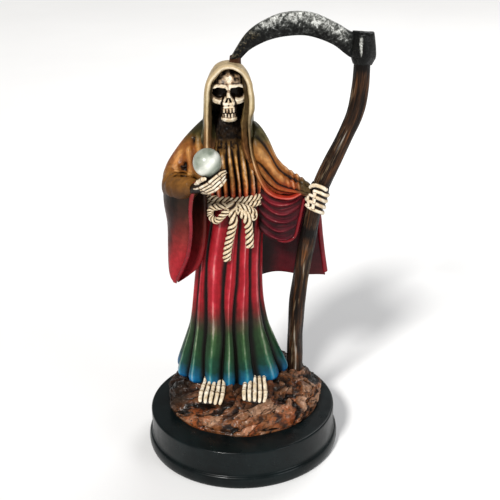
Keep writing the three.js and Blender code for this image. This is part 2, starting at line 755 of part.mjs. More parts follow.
// Rocky mound: level, height, share of its radius. Its foot stays inside the plinth's rounded edge.
const MOUND_CENTRE = [0.7, 5.5];
const MOUND = [
  [0, 0, 1.0],
  [1, 2.2, 1.0],
  [2, 5.0, 0.975],
  [3, 7.6, 0.87],
  [4, 10.0, 0.7],
  [5, 11.6, 0.52],
  [6, 13.6, 0.3],
];
function mound() {
  const [cx, cy] = MOUND_CENTRE;
  const widest = drawn(PLINTH_WALL_RADIUS - PLINTH_EDGE_ROUND - MOUND_SETBACK);
  const radius = widest - Math.hypot(cx, cy);
  const sides = 26;
  return loft(
    MOUND.map(([level, z, share]) =>
      Array.from({ length: sides }, (_, i) => {
        const a = (TAU * i) / sides;
        const crag = 0.022 * Math.sin(7 * a + 0.7 * level) + 0.02 * Math.sin(11 * a - 0.5 * level);
        const r = radius * share * (1 + (level > 0 ? crag : 0.3 * crag));
        const rough = level > 1 && level < 6 ? 0.55 * Math.sin(9 * a + 1.3 * level) : 0;
        return [cx + r * Math.cos(a), cy + r * Math.sin(a) * 0.99, z + rough];
      }),
    ),
  );
}

const pearlRadius = PEARL_DIAMETER / 2;
const seat = place(PEARL_SEAT);
const pearlCentre = [seat[0], seat[1], seat[2] + pearlRadius];
const ball = (radius, around, down) => new THREE.SphereGeometry(radius, around, down).rotateX(Math.PI / 2);

function plinthGeometry() {
  const [wall, bead, edge] = [PLINTH_WALL_RADIUS, PLINTH_BEAD_RADIUS, PLINTH_EDGE_ROUND];
  const cut = PLINTH_BEAD_CHAMFER;
  const fillet = cut / 2;
  const profile = [
    [0, 0],
    [bead - cut, 0],
    [bead, PLINTH_BEAD_HEIGHT * 0.36],
    [bead, PLINTH_BEAD_HEIGHT * 0.64],
    [bead - cut, PLINTH_BEAD_HEIGHT],
    [wall + fillet, PLINTH_BEAD_HEIGHT + fillet],
    [wall, PLINTH_HEIGHT - edge],
    [wall - edge * 0.3, PLINTH_HEIGHT - edge * 0.3],
    [wall - edge, PLINTH_HEIGHT],
    [0, PLINTH_HEIGHT],
  ];
  return new THREE.LatheGeometry(profile.map(([r, z]) => new THREE.Vector2(r, z)), 40).rotateX(Math.PI / 2);
}

// A geometry as a named mesh.
function mesh(geometry, name, colour, roughness) {
  const result = new THREE.Mesh(geometry, new THREE.MeshStandardMaterial({ color: colour, roughness }));
  result.name = name;
  return result;
}

// The outer skin of a solid: pockets that two joined pieces close in between them are solid resin, and
// slivers that hang on it by a corner are left out. Faces belong together where they share an edge.
function outerSkin(made) {
  const { vertProperties, triVerts } = made.getMesh();
  const whole = new THREE.BufferGeometry();
  whole.setAttribute("position", new THREE.BufferAttribute(vertProperties, 3));
  whole.setIndex(new THREE.BufferAttribute(triVerts, 1));
  const welded = mergeVertices(whole, 1e-3);
  const at = welded.getAttribute("position");
  const corners = [];
  for (let i = 0; i < welded.index.count; i += 3) {
    const face = [0, 1, 2].map((k) => welded.index.getX(i + k));
    if (new Set(face).size === 3) corners.push(face);
  }
  const root = corners.map((_, i) => i);
  const find = (i) => {
    let node = i;
    while (root[node] !== node) {
      root[node] = root[root[node]];
      node = root[node];
    }
    return node;
  };
  const seen = new Map();
  corners.forEach((face, i) => {
    face.forEach((a, k) => {
      const b = face[(k + 1) % 3];
      const edge = Math.min(a, b) * at.count + Math.max(a, b);
      if (seen.has(edge)) root[find(i)] = find(seen.get(edge));
      seen.set(edge, i);
    });
  });
  const point = (i) => new THREE.Vector3().fromBufferAttribute(at, i);
  const volume = new Map();
  corners.forEach(([a, b, c], i) => {
    const part = point(a).dot(point(b).cross(point(c)));
    volume.set(find(i), (volume.get(find(i)) ?? 0) + part);
  });
  const [skin] = [...volume.entries()].reduce((best, entry) => (entry[1] > best[1] ? entry : best));
  welded.setIndex(corners.filter((_, i) => find(i) === skin).flat());
  welded.computeVertexNormals();
  return welded;
}

const hoodHollow = column(HOOD_CAVITY, [123, 131, 139, 147, 152, 155.5, 158.2], 14);
const clothed = join([hood(), sweep(PEARL_ARM, round(11), 7), shawl()]).subtract(hoodHollow);

const pearlSeat = ball(pearlRadius + PEARL_CLEARANCE, 16, 10).translate(...pearlCentre);
const casting = join([
  mound(),
  skirt(),
  chest(),
  clothed,
  skull(),
  sweep(RIM, round(5), 22, [0, -1, 0.1]),
  pearlSleeve(),
  sleeveFront(),
  sleeveBack(),
  ...MOUTH_EDGES.map((stops) => sweep(stops, round(5), 5, [0, -1, 0])),
  pearlHand(),
  fist(),
  feet(),
  belt(),
  staff(),
  socket(),
  blade(),
  tipTab(),
]).subtract(solid(pearlSeat));

const pearl = mesh(ball(pearlRadius, 16, 10), "pearl", 0xe9e6df, 0.2);
pearl.position.set(...pearlCentre);

const group = new THREE.Group();
group.add(
  mesh(plinthGeometry(), "plinth", 0x101214, 0.25),
  mesh(outerSkin(casting), "figure_casting", 0x9a2b22, 0.4),
  pearl,
);

export default group;
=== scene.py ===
"""Looks of a robed skeleton figure that holds a pearl and a long scythe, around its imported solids.

Shapes are worked out in millimetres above the plinth's top, as the casting was drawn, and to_metres puts
them in the part's frame. Each piece is a grid of points in closed rings, one row of the grid after another.
"""

import itertools
import logging
import math
from collections.abc import Callable, Sequence
from dataclasses import dataclass
from enum import Enum

import bpy
import numpy as np
from mathutils import Matrix, Vector

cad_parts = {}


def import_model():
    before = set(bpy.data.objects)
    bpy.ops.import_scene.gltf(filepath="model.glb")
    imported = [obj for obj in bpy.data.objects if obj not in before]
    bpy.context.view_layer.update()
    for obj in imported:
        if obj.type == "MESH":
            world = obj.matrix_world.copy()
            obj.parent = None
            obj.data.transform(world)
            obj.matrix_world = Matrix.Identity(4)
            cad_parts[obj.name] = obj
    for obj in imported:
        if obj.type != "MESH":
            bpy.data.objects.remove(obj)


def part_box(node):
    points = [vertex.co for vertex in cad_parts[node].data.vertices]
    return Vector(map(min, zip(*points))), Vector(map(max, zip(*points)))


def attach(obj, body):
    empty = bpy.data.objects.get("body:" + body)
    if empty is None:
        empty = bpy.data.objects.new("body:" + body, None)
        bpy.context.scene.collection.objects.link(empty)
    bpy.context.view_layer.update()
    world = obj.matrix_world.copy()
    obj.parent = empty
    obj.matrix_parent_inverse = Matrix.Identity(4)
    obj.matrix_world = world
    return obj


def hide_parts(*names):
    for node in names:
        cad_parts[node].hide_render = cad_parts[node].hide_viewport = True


LOG = logging.getLogger("figure")
MM = 0.001
PLINTH_TOP = 18.0
TURN = 2.0 * math.pi
Array = np.ndarray
Rows = Sequence[Sequence[float]]
Triple = tuple[float, float, float]
Pattern = Callable[[Array, Array], Array]
UP: Triple = (0.0, 0.0, 1.0)
REARWARD: Triple = (0.0, 1.0, 0.0)
FORWARD: Triple = (0.0, -1.0, 0.0)
FORWARD_UP: Triple = (0.0, -1.0, 0.1)


class Ends(Enum):
    """How the first and the last ring of a skin are closed."""

    FAN = "fan"
    STRIP = "strip"
    LOOP = "loop"


class Slot(Enum):
    """The record's material slots."""

    PLINTH = "plinth"
    RESIN = "painted_resin"
    PEARL = "pearl"


def to_metres(points: Array) -> Array:
    """Drawn millimetres as metres of the frame: scaled by a thousandth and lifted onto the plinth."""
    return (points + np.array([0.0, 0.0, PLINTH_TOP])) * MM


def together(*parts: Array) -> Array:
    """Arrays spread to one shape and stacked along a new last axis."""
    return np.stack(np.broadcast_arrays(*parts), -1)


def around(count: int) -> Array:
    """The angles of evenly spread points round a ring, as one row."""
    return (TURN * np.arange(count) / count)[None, :]


def ease(value: Array, low: float, high: float) -> Array:
    """A smooth step from 0 at low to 1 at high: 3t squared less 2t cubed."""
    share = np.clip((value - low) / (high - low), 0.0, 1.0)
    return share * share * (3.0 - 2.0 * share)


def bell(value: Array, centre: float, width: float, power: float = 2.0) -> Array:
    """A bump of height 1: e to the minus of the distance over the width, to the given power."""
    return np.exp(-(np.abs((value - centre) / width) ** power))


def chance(cells: Array, seed: int) -> Array:
    """A repeatable share from 0 to 1 for each whole-numbered cell: the fraction of a large sine.

    Args:
        cells: Whole numbers, three to a cell.
        seed: Picks one of many patterns.

    Returns:
        One share for each cell.
    """
    weights, seed_weight, large = np.array([127.1, 311.7, 74.7]), 19.19, 43758.5453
    return np.modf(np.abs(np.sin(cells @ weights + seed_weight * seed)) * large)[0]


def rough(points: Array, size: float, seed: int, octaves: int = 3) -> Array:
    """Value noise from -1 to 1: chances at lattice corners, smoothly mixed, halved at each octave.

    Args:
        points: Points, three numbers each.
        size: Width of the largest lumps.
        seed: Picks the pattern.
        octaves: How many layers of half the size are added.

    Returns:
        One number for each point.
    """
    total = np.zeros(points.shape[:-1])
    for octave in range(octaves):
        place = points / size * 2.0**octave + 31.7 * octave
        base = np.floor(place)
        share = place - base
        share = share * share * (3.0 - 2.0 * share)
        for corner in itertools.product((0, 1), repeat=3):
            weight = np.prod(np.where(np.array(corner) == 1, share, 1.0 - share), axis=-1)
            total += weight * (2.0 * chance(base + corner, seed + octave) - 1.0) / 2.0**octave
    return total


def slabs(points: Array, size: float, seed: int) -> tuple[Array, Array, Array]:
    """Cell noise: space is split between scattered seeds, and each slab has a chance and a tilt of its own.

    Args:
        points: Points, three numbers each.
        size: Mean width of a slab.
        seed: Picks the pattern.

    Returns:
        The gap between the nearest and the second seed, in slab widths, the slab's own share, and how far
        the slab's tilted face has risen at the point.
    """
    place = points / size
    base = np.floor(place)
    near = np.full(points.shape[:-1], 9.0)
    second = near.copy()
    mark = np.zeros_like(near)
    rise = np.zeros_like(near)
    for offset in itertools.product((-1, 0, 1), repeat=3):
        cell = base + offset
        spot = cell + np.stack([chance(cell, seed + k) for k in (1, 2, 3)], axis=-1)
        distance = np.linalg.norm(spot - place, axis=-1)
        closer = distance < near
        second = np.where(closer, near, np.minimum(second, distance))
        mark = np.where(closer, chance(cell, seed), mark)
        slope = np.stack([2.0 * chance(cell, seed + k) - 1.0 for k in (4, 5, 6)], axis=-1)
        rise = np.where(closer, ((place - spot) * slope).sum(-1), rise)
        near = np.minimum(near, distance)
    return second - near, mark, rise


class Track:
    """A table whose first column grows, read smoothly between its rows.

    Between two rows each column follows a cubic whose slope at a row is that of the rows on both sides.
    """

    def __init__(self, rows: Rows) -> None:
        """Keeps the rows as an array."""
        self.rows = np.array(rows, float)

    def at(self, where: Array) -> Array:
        """Every other column at the given values of the first.

        Args:
            where: Values of the first column, of any shape.

        Returns:
            An array with one more axis, which holds the columns.
        """
        rows = self.rows
        last = len(rows) - 1
        u = np.clip(np.asarray(where, float), rows[0, 0], rows[last, 0])
        i = np.clip(np.searchsorted(rows[:, 0], u, side="left") - 1, 0, last - 1)
        p, q = rows[i], rows[i + 1]
        before, after = rows[np.maximum(i - 1, 0)], rows[np.minimum(i + 2, last)]
        span = (q - p)[..., :1]
        t = (u[..., None] - p[..., :1]) / span
        slope_in = (q - before)[..., 1:] / np.maximum((q - before)[..., :1], 1e-9)
        slope_out = (after - p)[..., 1:] / np.maximum((after - p)[..., :1], 1e-9)
        ends = (2 * t**3 - 3 * t**2 + 1) * p[..., 1:] + (3 * t**2 - 2 * t**3) * q[..., 1:]
        return ends + span * ((t**3 - 2 * t**2 + t) * slope_in + (t**3 - t**2) * slope_out)


def read(rows: Rows, where: Array) -> Array:
    """Each later column of a table at the given values of its first, in the shape of those values."""
    return np.moveaxis(Track(rows).at(where), -1, 0)


@dataclass
class Skin:
    """One closed surface on a grid, in drawn millimetres.

    Attributes:
        points: Rows, columns and three numbers. Every row is a ring.
        shade_and_tint: Painted shade in valleys, creases, hollows and between parts, from 0 to 1; on the
            blade, a gold tint.
        crest: How far a point stands up between a valley and a ridge, from 0 to 1; most paints lay painted
            highlights where it is high.
        grain: Place in the piece's own frame, for patterns that follow it.
        ends: How the first and last ring are closed.
    """

    points: Array
    shade_and_tint: Array | None = None
    crest: Array | None = None
    grain: Array | None = None
    ends: Ends = Ends.FAN

    def corners(self) -> tuple[Array, Array, Array]:
        """The skin's vertices, four-sided faces and three-sided faces, turned to look outwards.

        Returns:
            Vertices, then faces with four corners, then faces with three.
        """
        rows, columns = self.points.shape[:2]
        index = np.arange(rows * columns).reshape(rows, columns)
        low, high = (index, np.roll(index, -1, 0)) if self.ends is Ends.LOOP else (index[:-1], index[1:])
        quads = np.stack([low, np.roll(low, -1, 1), np.roll(high, -1, 1), high], -1).reshape(-1, 4)
        triangles = np.zeros((0, 3), int)
        vertices = self.points.reshape(-1, 3)
        if self.ends is Ends.FAN:
            hub = len(vertices)
            vertices = np.concatenate([vertices, self.points[[0, -1]].mean(1)])
            first, last = index[0], index[-1]
            start = np.stack([np.full(columns, hub), np.roll(first, -1), first], -1)
            stop = np.stack([np.full(columns, hub + 1), last, np.roll(last, -1)], -1)
            triangles = np.concatenate([start, stop])
        if self.ends is Ends.STRIP:
            i = np.arange(columns // 2 - 1)
            start = np.stack([i, columns - 1 - i, columns - 2 - i, i + 1], -1)
            stop = start[:, ::-1] + (rows - 1) * columns
            quads = np.concatenate([quads, start, stop])
        faces = np.concatenate([quads[:, [0, 1, 2]], quads[:, [0, 2, 3]], triangles])
        a, b, c = (vertices[faces[:, k]] for k in range(3))
        if np.einsum("ij,ij->i", a, np.cross(b, c)).sum() < 0.0:
            quads, triangles = quads[:, ::-1], triangles[:, ::-1]
        return vertices, quads, triangles

    def layer(self, name: str) -> Array:
        """One row for each vertex: the grid's painted shade and tint, crest or grain, and the end rings'
        means for the hubs.
        """
        shape = (*self.points.shape[:2], 3 if name == "grain" else 1)
        values = getattr(self, name)
        values = np.zeros(shape) if values is None else values.reshape(*values.shape[:2], -1)
        grid = np.broadcast_to(values, shape)
        hubs = [grid[[0, -1]].mean(1)] if self.ends is Ends.FAN else []
        return np.concatenate([grid.reshape(-1, shape[2]), *hubs])


def sheet(front: Array, back: Array, shade_and_tint: Sequence[Array | float], crest: Sequence[Array | float]) -> Skin:
    """A closed sheet: each ring runs along its front and returns along its back.

    Args:
        front: Rows of points along the front.
        back: The points behind them, in the same order.
        shade_and_tint: Painted shade on the way along the front, then on the way back.
        crest: Crest on the way along the front, then on the way back.

    Returns:
        The sheet's skin.
    """
    shape = front.shape[:2]
    points = np.concatenate([front, back[:, ::-1]], axis=1)
    layers = [np.concatenate([np.broadcast_to(way, shape) for way in ways], axis=1) for ways in (shade_and_tint, crest)]
    return Skin(points, *layers, None, Ends.STRIP)


def make_piece(
    name: str,
    skins: Sequence[Skin],
    material: bpy.types.Material,
    slot: Slot = Slot.RESIN,
    sharp: float | None = None,
) -> bpy.types.Object:
    """Puts skins into one mesh object that rides on the part.

    Args:
        name: The piece's name.
        skins: Its closed surfaces.
        material: Its finish.
        slot: The record's slot of that finish. It is not used.
        sharp: Edges that turn by more degrees than this stay crisp. Without it none does.

    Returns:
        The object, at the origin, with its place in its mesh.
    """
    points, quads, triangles = zip(*(skin.corners() for skin in skins))
    offsets = np.cumsum([0, *map(len, points)])
    four, three = (np.concatenate([f + o for f, o in zip(faces, offsets)]) for faces in (quads, triangles))
    mesh = bpy.data.meshes.new(name)
    mesh.vertices.add(int(offsets[-1]))
    mesh.vertices.foreach_set("co", to_metres(np.concatenate(points)).astype(np.float32).ravel())
    mesh.loops.add(four.size + three.size)
    mesh.loops.foreach_set("vertex_index", np.concatenate([four.ravel(), three.ravel()]).astype(np.int32))
    mesh.polygons.add(len(four) + len(three))
    starts = np.concatenate([np.arange(len(four)) * 4, four.size + np.arange(len(three)) * 3])
    mesh.polygons.foreach_set("loop_start", starts.astype(np.int32))
    mesh.polygons.foreach_set("use_smooth", np.ones(len(starts), bool))
    mesh.update(calc_edges=True)
    for key in ("shade_and_tint", "crest", "grain"):
        values = np.concatenate([skin.layer(key) for skin in skins]).astype(np.float32)
        kind, what = ("FLOAT_VECTOR", "vector") if key == "grain" else ("FLOAT", "value")
        mesh.attributes.new(key, kind, "POINT").data.foreach_set(what, values.ravel())
    mesh.validate()
    if sharp is not None:
        mesh.set_sharp_from_angle(angle=math.radians(sharp))
    mesh.materials.append(material)
    piece = bpy.data.objects.new(name, mesh)
    bpy.context.scene.collection.objects.link(piece)
    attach(piece, "root")
    LOG.info("%s: %d triangles", name, 2 * len(four) + len(three))
    return piece


def unit(vectors: Array) -> Array:
    """Vectors scaled to a length of 1."""
    return vectors / np.maximum(np.linalg.norm(vectors, axis=-1, keepdims=True), 1e-12)


def rounded(share: Array, blunt: float, least: float) -> Array:
    """Size of a rod with round ends: the root of 1 less the square of what the end still lacks.

    Args:
        share: Shares of the rod's length.
        blunt: Share of the length that an end takes up.
        least: The square of the least size, at the very end.

    Returns:
        Shares of the full size.
    """
    edge = np.clip(np.minimum(share, 1.0 - share) / blunt, 0.0, 1.0)
    return np.sqrt(np.clip(1.0 - (1.0 - edge) ** 2, least, 1.0))


@dataclass
class Spine:
    """A path with the directions of its width and height, and half sizes, at each of its points."""

    centre: Array
    side: Array
    rise: Array
    sizes: Array | None = None

    @property
    def run(self) -> Array:
        """Distance run along the path up to each point."""
        steps = np.linalg.norm(np.diff(self.centre, axis=0), axis=1)
        return np.concatenate([[0.0], np.cumsum(steps)])

    def skin(
        self,
        across: Array,
        above: Array,
        shade_and_tint: Array | None = None,
        crest: Array | None = None,
        ends: Ends = Ends.FAN,
    ) -> Skin:
        """Rings round the path: its centre plus so much of its width and so much of its height.

        Args:
            across: Distance of each point along the width.
            above: Distance of each point along the height.
            shade_and_tint: The skin's painted shade.
            crest: The skin's crest.
            ends: How the first and last ring are closed.

        Returns:
            The skin, with both distances and the distance run in its grain.
        """
        reach = across[..., None] * self.side[:, None] + above[..., None] * self.rise[:, None]
        grain = together(across, above, self.run[:, None])
        return Skin(self.centre[:, None] + reach, shade_and_tint, crest, grain, ends)


@dataclass
class Tube:
    """A ring carried along a smooth path.

    The ring's first direction is the cross product of the up direction and the path, its second the cross
    product of the path and the first.

    Attributes:
        stops: Rows of x, y, z, half width and half height, or of x, y, z and one half size for both.
        steps: How many steps the path is cut into.
        sides: How many points a ring has.
        up: The up direction.
        blunt: Share of the length over which each end is rounded.
    """

    stops: Rows
    steps: int = 60
    sides: int = 20
    up: Triple = UP
    blunt: float = 0.0

    def spine(self) -> Spine:
        """The path, one point for each step and one more. The steps of a blunt tube are short at its ends."""
        track = Track([[i, *stop[:4], stop[-1]] for i, stop in enumerate(self.stops)])
        last = len(self.stops) - 1
        share = np.linspace(0.0, 1.0, self.steps + 1)
        at = last * (0.5 - 0.5 * np.cos(np.pi * share)) if self.blunt else last * share
        here = track.at(at)
        ahead, behind = track.at(np.minimum(at + 0.02, last)), track.at(np.maximum(at - 0.02, 0.0))
        along = unit((ahead - behind)[:, :3])
        side = unit(np.cross(np.array(self.up), along))
        return Spine(here[:, :3], side, np.cross(along, side), here[:, 3:5])

    def skin(
        self, reach: Pattern | None = None, stain_and_shade: Pattern | float = 0.0, relief: Pattern | float = 0.0
    ) -> Skin:
        """The tube's surface: centre plus width times cosine and height times sine, scaled by the reach.

        Args:
            reach: Radius as a share, from the share of the length and the angle.
            stain_and_shade: Dark paint, mostly painted shade, from the same two, or one number for all of it.
            relief: Crest, from the same two, or one number for all of it.

        Returns:
            The tube's skin.
        """
        spine = self.spine()
        angle = around(self.sides)
        share = (spine.run / spine.run[-1])[:, None]
        radius = reach(share, angle) if reach else 1.0
        if self.blunt:
            radius = radius * rounded(share, self.blunt, 0.0025)
        across = radius * np.cos(angle) * spine.sizes[:, :1]
        above = radius * np.sin(angle) * spine.sizes[:, 1:]
        values = [source(share, angle) if callable(source) else source for source in (stain_and_shade, relief)]
        return spine.skin(across, above, *(np.broadcast_to(value, across.shape) for value in values))


def scored(skin: Skin, strokes: Rows) -> Skin:
    """Adds single ridges and creases: the surface moves along its normal, most on a straight line.

    The move is the stroke's height times e to the minus squared distance over the width.

    Args:
        skin: The surface.
        strokes: The two ends, the width and the height of each stroke. A crease has a negative height.

    Returns:
        The skin with its strokes, more crest, for painted highlights, on the ridges and more painted shade in
        the creases.
    """
    points = skin.points
    normal = unit(np.cross(np.roll(points, -1, 1) - np.roll(points, 1, 1), np.gradient(points, axis=0)))
    outward = points - points.mean(axis=1, keepdims=True)
    normal = normal * np.sign((normal * outward).sum())
    ridge, crease, move = (np.zeros(points.shape[:2]) for _ in range(3))
    for x0, y0, z0, x1, y1, z1, width, height in strokes:
        start, along = np.array([x0, y0, z0]), np.array([x1 - x0, y1 - y0, z1 - z0])
        share = np.clip((points - start) @ along / (along @ along), 0.0, 1.0)
        shape = bell(np.linalg.norm(points - start - share[..., None] * along, axis=-1), 0.0, width)
        move += height * shape
        ridge += shape * (height > 0.0)
        crease += shape * min(1.0, max(-height, 0.0))
    crest = np.clip(skin.crest + 0.4 * ridge - 0.8 * crease, 0.0, 1.2)
    shade_and_tint = np.clip(skin.shade_and_tint + 1.05 * crease - 0.6 * ridge, 0.0, 1.0)
    return Skin(points + move[..., None] * normal, shade_and_tint, crest, skin.grain, skin.ends)


@dataclass(frozen=True)
class Gloss:
    """How a lacquered surface shines."""

    roughness: float = 0.44
    spread: float = 0.1
    coat: float = 0.08
    coat_roughness: float = 0.15
    mirror: float = 0.12


MATT = Gloss(0.5, 0.1, 0.03, 0.25, 0.08)


def colour(code: str) -> tuple[float, float, float, float]:
    """A six-figure sRGB code as linear light: each share is taken off the screen's curve."""
    shares = (int(code[i : i + 2], 16) / 255.0 for i in (0, 2, 4))
    return (*(s / 12.92 if s <= 0.04045 else ((s + 0.055) / 1.055) ** 2.4 for s in shares), 1.0)


@dataclass(frozen=True)
class Value:
    """A number or colour that a material works out. Numbers can be added, taken away and multiplied."""

    socket: bpy.types.NodeSocket

    def maths(self, kind: str, other: "Value | float" = 0.0, clamp: bool = False) -> "Value":
        """This number worked out with another, and kept from 0 to 1 if clamped."""
        node = self.socket.id_data.nodes.new("ShaderNodeMath")
        node.operation = kind
        node.use_clamp = clamp
        join(self, node.inputs[0])
        join(other, node.inputs[1])
        return Value(node.outputs[0])

    def __add__(self, other: "Value | float") -> "Value":
        """The sum."""
        return self.maths("ADD", other)

    def __sub__(self, other: "Value | float") -> "Value":
        """The difference."""
        return self.maths("SUBTRACT", other)

    def __mul__(self, other: "Value | float") -> "Value":
        """The product."""
        return self.maths("MULTIPLY", other)


def join(source: Value | float | str | Sequence[float], socket: bpy.types.NodeSocket) -> None:
    """Links a worked out value to a socket, or sets it to a constant. A text is a colour's code."""
    if isinstance(source, Value):
        socket.id_data.links.new(source.socket, socket)
    else:
        socket.default_value = colour(source) if isinstance(source, str) else source


class Brush:
    """Mixes one procedural material from nodes."""

    def __init__(self, name: str, gloss: Gloss) -> None:
        """Starts a material with a shader of the given gloss."""
        self.material = bpy.data.materials.new(name)
        self.material.use_nodes = True
        self.tree = self.material.node_tree
        self.tree.nodes.clear()
        self.shader = self.node("ShaderNodeBsdfPrincipled")
        self.tree.links.new(self.shader.outputs[0], self.node("ShaderNodeOutputMaterial").inputs[0])
        self.shader.inputs["Coat Weight"].default_value = gloss.coat
        self.shader.inputs["Coat Roughness"].default_value = gloss.coat_roughness
        self.shader.inputs["Specular IOR Level"].default_value = gloss.mirror
        self.gloss = gloss
        self.place = Value(self.node("ShaderNodeTexCoord").outputs["Object"])

    def node(self, kind: str, **settings: str) -> bpy.types.Node:
        """A new node with the given settings."""
        node = self.tree.nodes.new(kind)
        for key, setting in settings.items():
            setattr(node, key, setting)
        return node

    def layer(self, name: str) -> Value:
        """A layer painted on the mesh: a place for the grain, and otherwise a number."""
        node = self.node("ShaderNodeAttribute", attribute_name=name)
        return Value(node.outputs["Vector" if name == "grain" else "Fac"])

    def spread(
        self, value: Value, low: float, high: float, to_low: float = 0.0, to_high: float = 1.0
    ) -> Value:
        """Maps a number smoothly from one range to another."""
        node = self.node("ShaderNodeMapRange", interpolation_type="SMOOTHSTEP")
        for socket, number in zip(node.inputs, (value, low, high, to_low, to_high)):
            join(number, socket)
        return Value(node.outputs[0])

    def stretch(self, vector: Value, scale: Triple) -> Value:
        """A vector with each of its parts scaled."""
        node = self.node("ShaderNodeMapping")
        join(scale, node.inputs["Scale"])
        join(vector, node.inputs["Vector"])
        return Value(node.outputs[0])

    def noise(
        self, scale: float, detail: float = 4.0, twist: float = 0.0, vector: Value | None = None
    ) -> Value:
        """Cloudy noise from 0 to 1."""
        node = self.node("ShaderNodeTexNoise")
        numbers = {"Scale": scale, "Detail": detail, "Roughness": 0.6, "Distortion": twist}
        for key, source in {**numbers, "Vector": vector or self.place}.items():
            join(source, node.inputs[key])
        return Value(node.outputs[0])

    def height(self) -> Value:
        """Height above the plinth's underside, in millimetres."""
        node = self.node("ShaderNodeSeparateXYZ")
        join(self.place, node.inputs[0])
        return Value(node.outputs[2]) * (1.0 / MM)

    def ramp(self, value: Value, spots: Sequence[float], codes: Sequence[str]) -> Value:
        """Colours along a number: each code at its spot from 0 to 1."""
        node = self.node("ShaderNodeValToRGB")
        marks = node.color_ramp.elements
        while len(marks) < len(spots):
            marks.new(0.5)
        for mark, spot in zip(marks, spots):
            mark.position = spot
        for mark, code in zip(marks, codes):
            mark.color = colour(code)
        join(value, node.inputs[0])
        return Value(node.outputs[0])

    def mix(self, share: Value | float, first: Value | str, second: Value | str, kind: str = "MIX") -> Value:
        """Two colours mixed by a share."""
        node = self.node("ShaderNodeMix", data_type="RGBA", blend_type=kind)
        join(share, node.inputs["Factor"])
        join(first, node.inputs[6])
        join(second, node.inputs[7])
        return Value(node.outputs[2])

    def over(
        self, paint: Value, code: str, where: Value, low: float, high: float, most: float = 1.0
    ) -> Value:
        """A colour laid over the paint, from none where a number is low to the most where it is high."""
        return self.mix(self.spread(where, low, high, 0.0, most), paint, code)

    def patch(self, centre: Triple, inner: float, outer: float) -> Value:
        """1 within the inner distance of a drawn point and 0 beyond the outer, in millimetres."""
        node = self.node("ShaderNodeVectorMath", operation="DISTANCE")
        join(self.place, node.inputs[0])
        join(to_metres(np.array(centre)).tolist(), node.inputs[1])
        return self.spread(Value(node.outputs["Value"]), inner * MM, outer * MM, 1.0, 0.0)

    def finish(
        self, paint: Value, relief: Value | None = None, depth: float = 0.2, shine: Value | None = None
    ) -> bpy.types.Material:
        """Connects the colour, the fine relief and the uneven gloss.

        Args:
            paint: The colour.
            relief: Height of the fine relief, from 0 to 1.
            depth: What a relief of 1 measures, in millimetres.
            shine: A number from 0 to 1 that makes the surface duller.

        Returns:
            The material.
        """
        join(paint, self.shader.inputs["Base Color"])
        low = max(self.gloss.roughness - self.gloss.spread, 0.02)
        high = self.gloss.roughness + self.gloss.spread
        join(self.spread(shine or self.noise(160.0), 0.3, 0.7, low, high), self.shader.inputs["Roughness"])
        if relief is not None:
            bump = self.node("ShaderNodeBump")
            join(1.0, bump.inputs["Strength"])
            join(depth * MM, bump.inputs["Distance"])
            join(relief, bump.inputs["Height"])
            for key in ("Normal", "Coat Normal"):
                join(Value(bump.outputs[0]), self.shader.inputs[key])
        return self.material


@dataclass(frozen=True)
class Band:
    """Paint at one height above the plinth's underside in millimetres: painted shade in valleys, the cloth's
    colour, painted highlight on ridges.
    """

    height: float
    valley: str
    body: str
    ridge: str


@dataclass(frozen=True)
class Patch:
    """A soft round patch of another colour, round a drawn point, in millimetres."""

    centre: Triple
    inner: float
    outer: float
    shade: str
    strength: float = 1.0


@dataclass(frozen=True)
class ClothPaint:
    """Hand painted cloth: bands of colour that run into each other, painted shade in valleys and painted
    highlights on ridges.

    Attributes:
        name: The material's name.
        bands: Paint at growing heights.
        patches: Soft patches of other colours on it.
        waver: How unevenly the bands meet, in millimetres.
        ridge: How strong the painted highlight on the ridges is.
        stipple: How speckled the paint is.
        glint: How strong the painted glint is: a pale highlight on the very edge of a ridge.
        gloss: Its shine.
    """

    name: str
    bands: tuple[Band, ...]
    patches: tuple[Patch, ...] = ()
    waver: float = 5.0
    ridge: float = 0.75
    stipple: float = 0.16
    glint: float = 0.45
    gloss: Gloss = Gloss()

    def material(self) -> bpy.types.Material:
        """Height with noise picks the band; crest picks painted shade, cloth or painted highlight; the shade
        layer darkens it last.
        """
        brush = Brush(self.name, self.gloss)
        low, high = self.bands[0].height, self.bands[-1].height
        cloudy = brush.noise(110.0, 3.0) - 0.5
        height = brush.height() + cloudy * (2.4 * self.waver)
        share = (height - low).maths("DIVIDE", high - low, True)
        spots = [(band.height - low) / (high - low) for band in self.bands]
        codes = zip(*((band.valley, band.body, band.ridge) for band in self.bands))
        valley, body, ridge = (brush.ramp(share, spots, row) for row in codes)
        strokes = brush.noise(260.0, 5.0, 0.0, brush.stretch(brush.place, (1.0, 1.0, 0.28)))
        crest = brush.layer("crest") + (strokes - 0.5) * 0.7
        # Painted shade in the valleys, then the painted highlight on the ridges.
        paint = brush.mix(brush.spread(crest, 0.1, 0.62), valley, body)
        paint = brush.mix(brush.spread(crest, 0.74, 1.14, 0.0, self.ridge), paint, ridge)
        # A pale painted glint on the very top of the ridges.
        paint = brush.over(paint, "f6e8dc", crest, 1.02, 1.24, self.glint)
        for spot in self.patches:
            soft = brush.patch(spot.centre, spot.inner, spot.outer) * spot.strength
            loose = brush.spread(soft + cloudy * 0.8, 0.1, 0.9)
            paint = brush.mix(loose * brush.spread(soft, 0.0, 0.2), paint, spot.shade)
        grain = brush.noise(480.0, 5.0)
        specks = brush.spread(grain, 0.36, 0.64, 1.0 - 1.3 * self.stipple, 1.0)
        paint = brush.mix(1.0, paint, specks, "MULTIPLY")
        # Near black painted shade from the shade layer.
        paint = brush.over(paint, "0b0604", brush.layer("shade_and_tint"), 0.0, 1.0, 0.94)
        return brush.finish(paint, grain * 0.5 + strokes, 0.22)


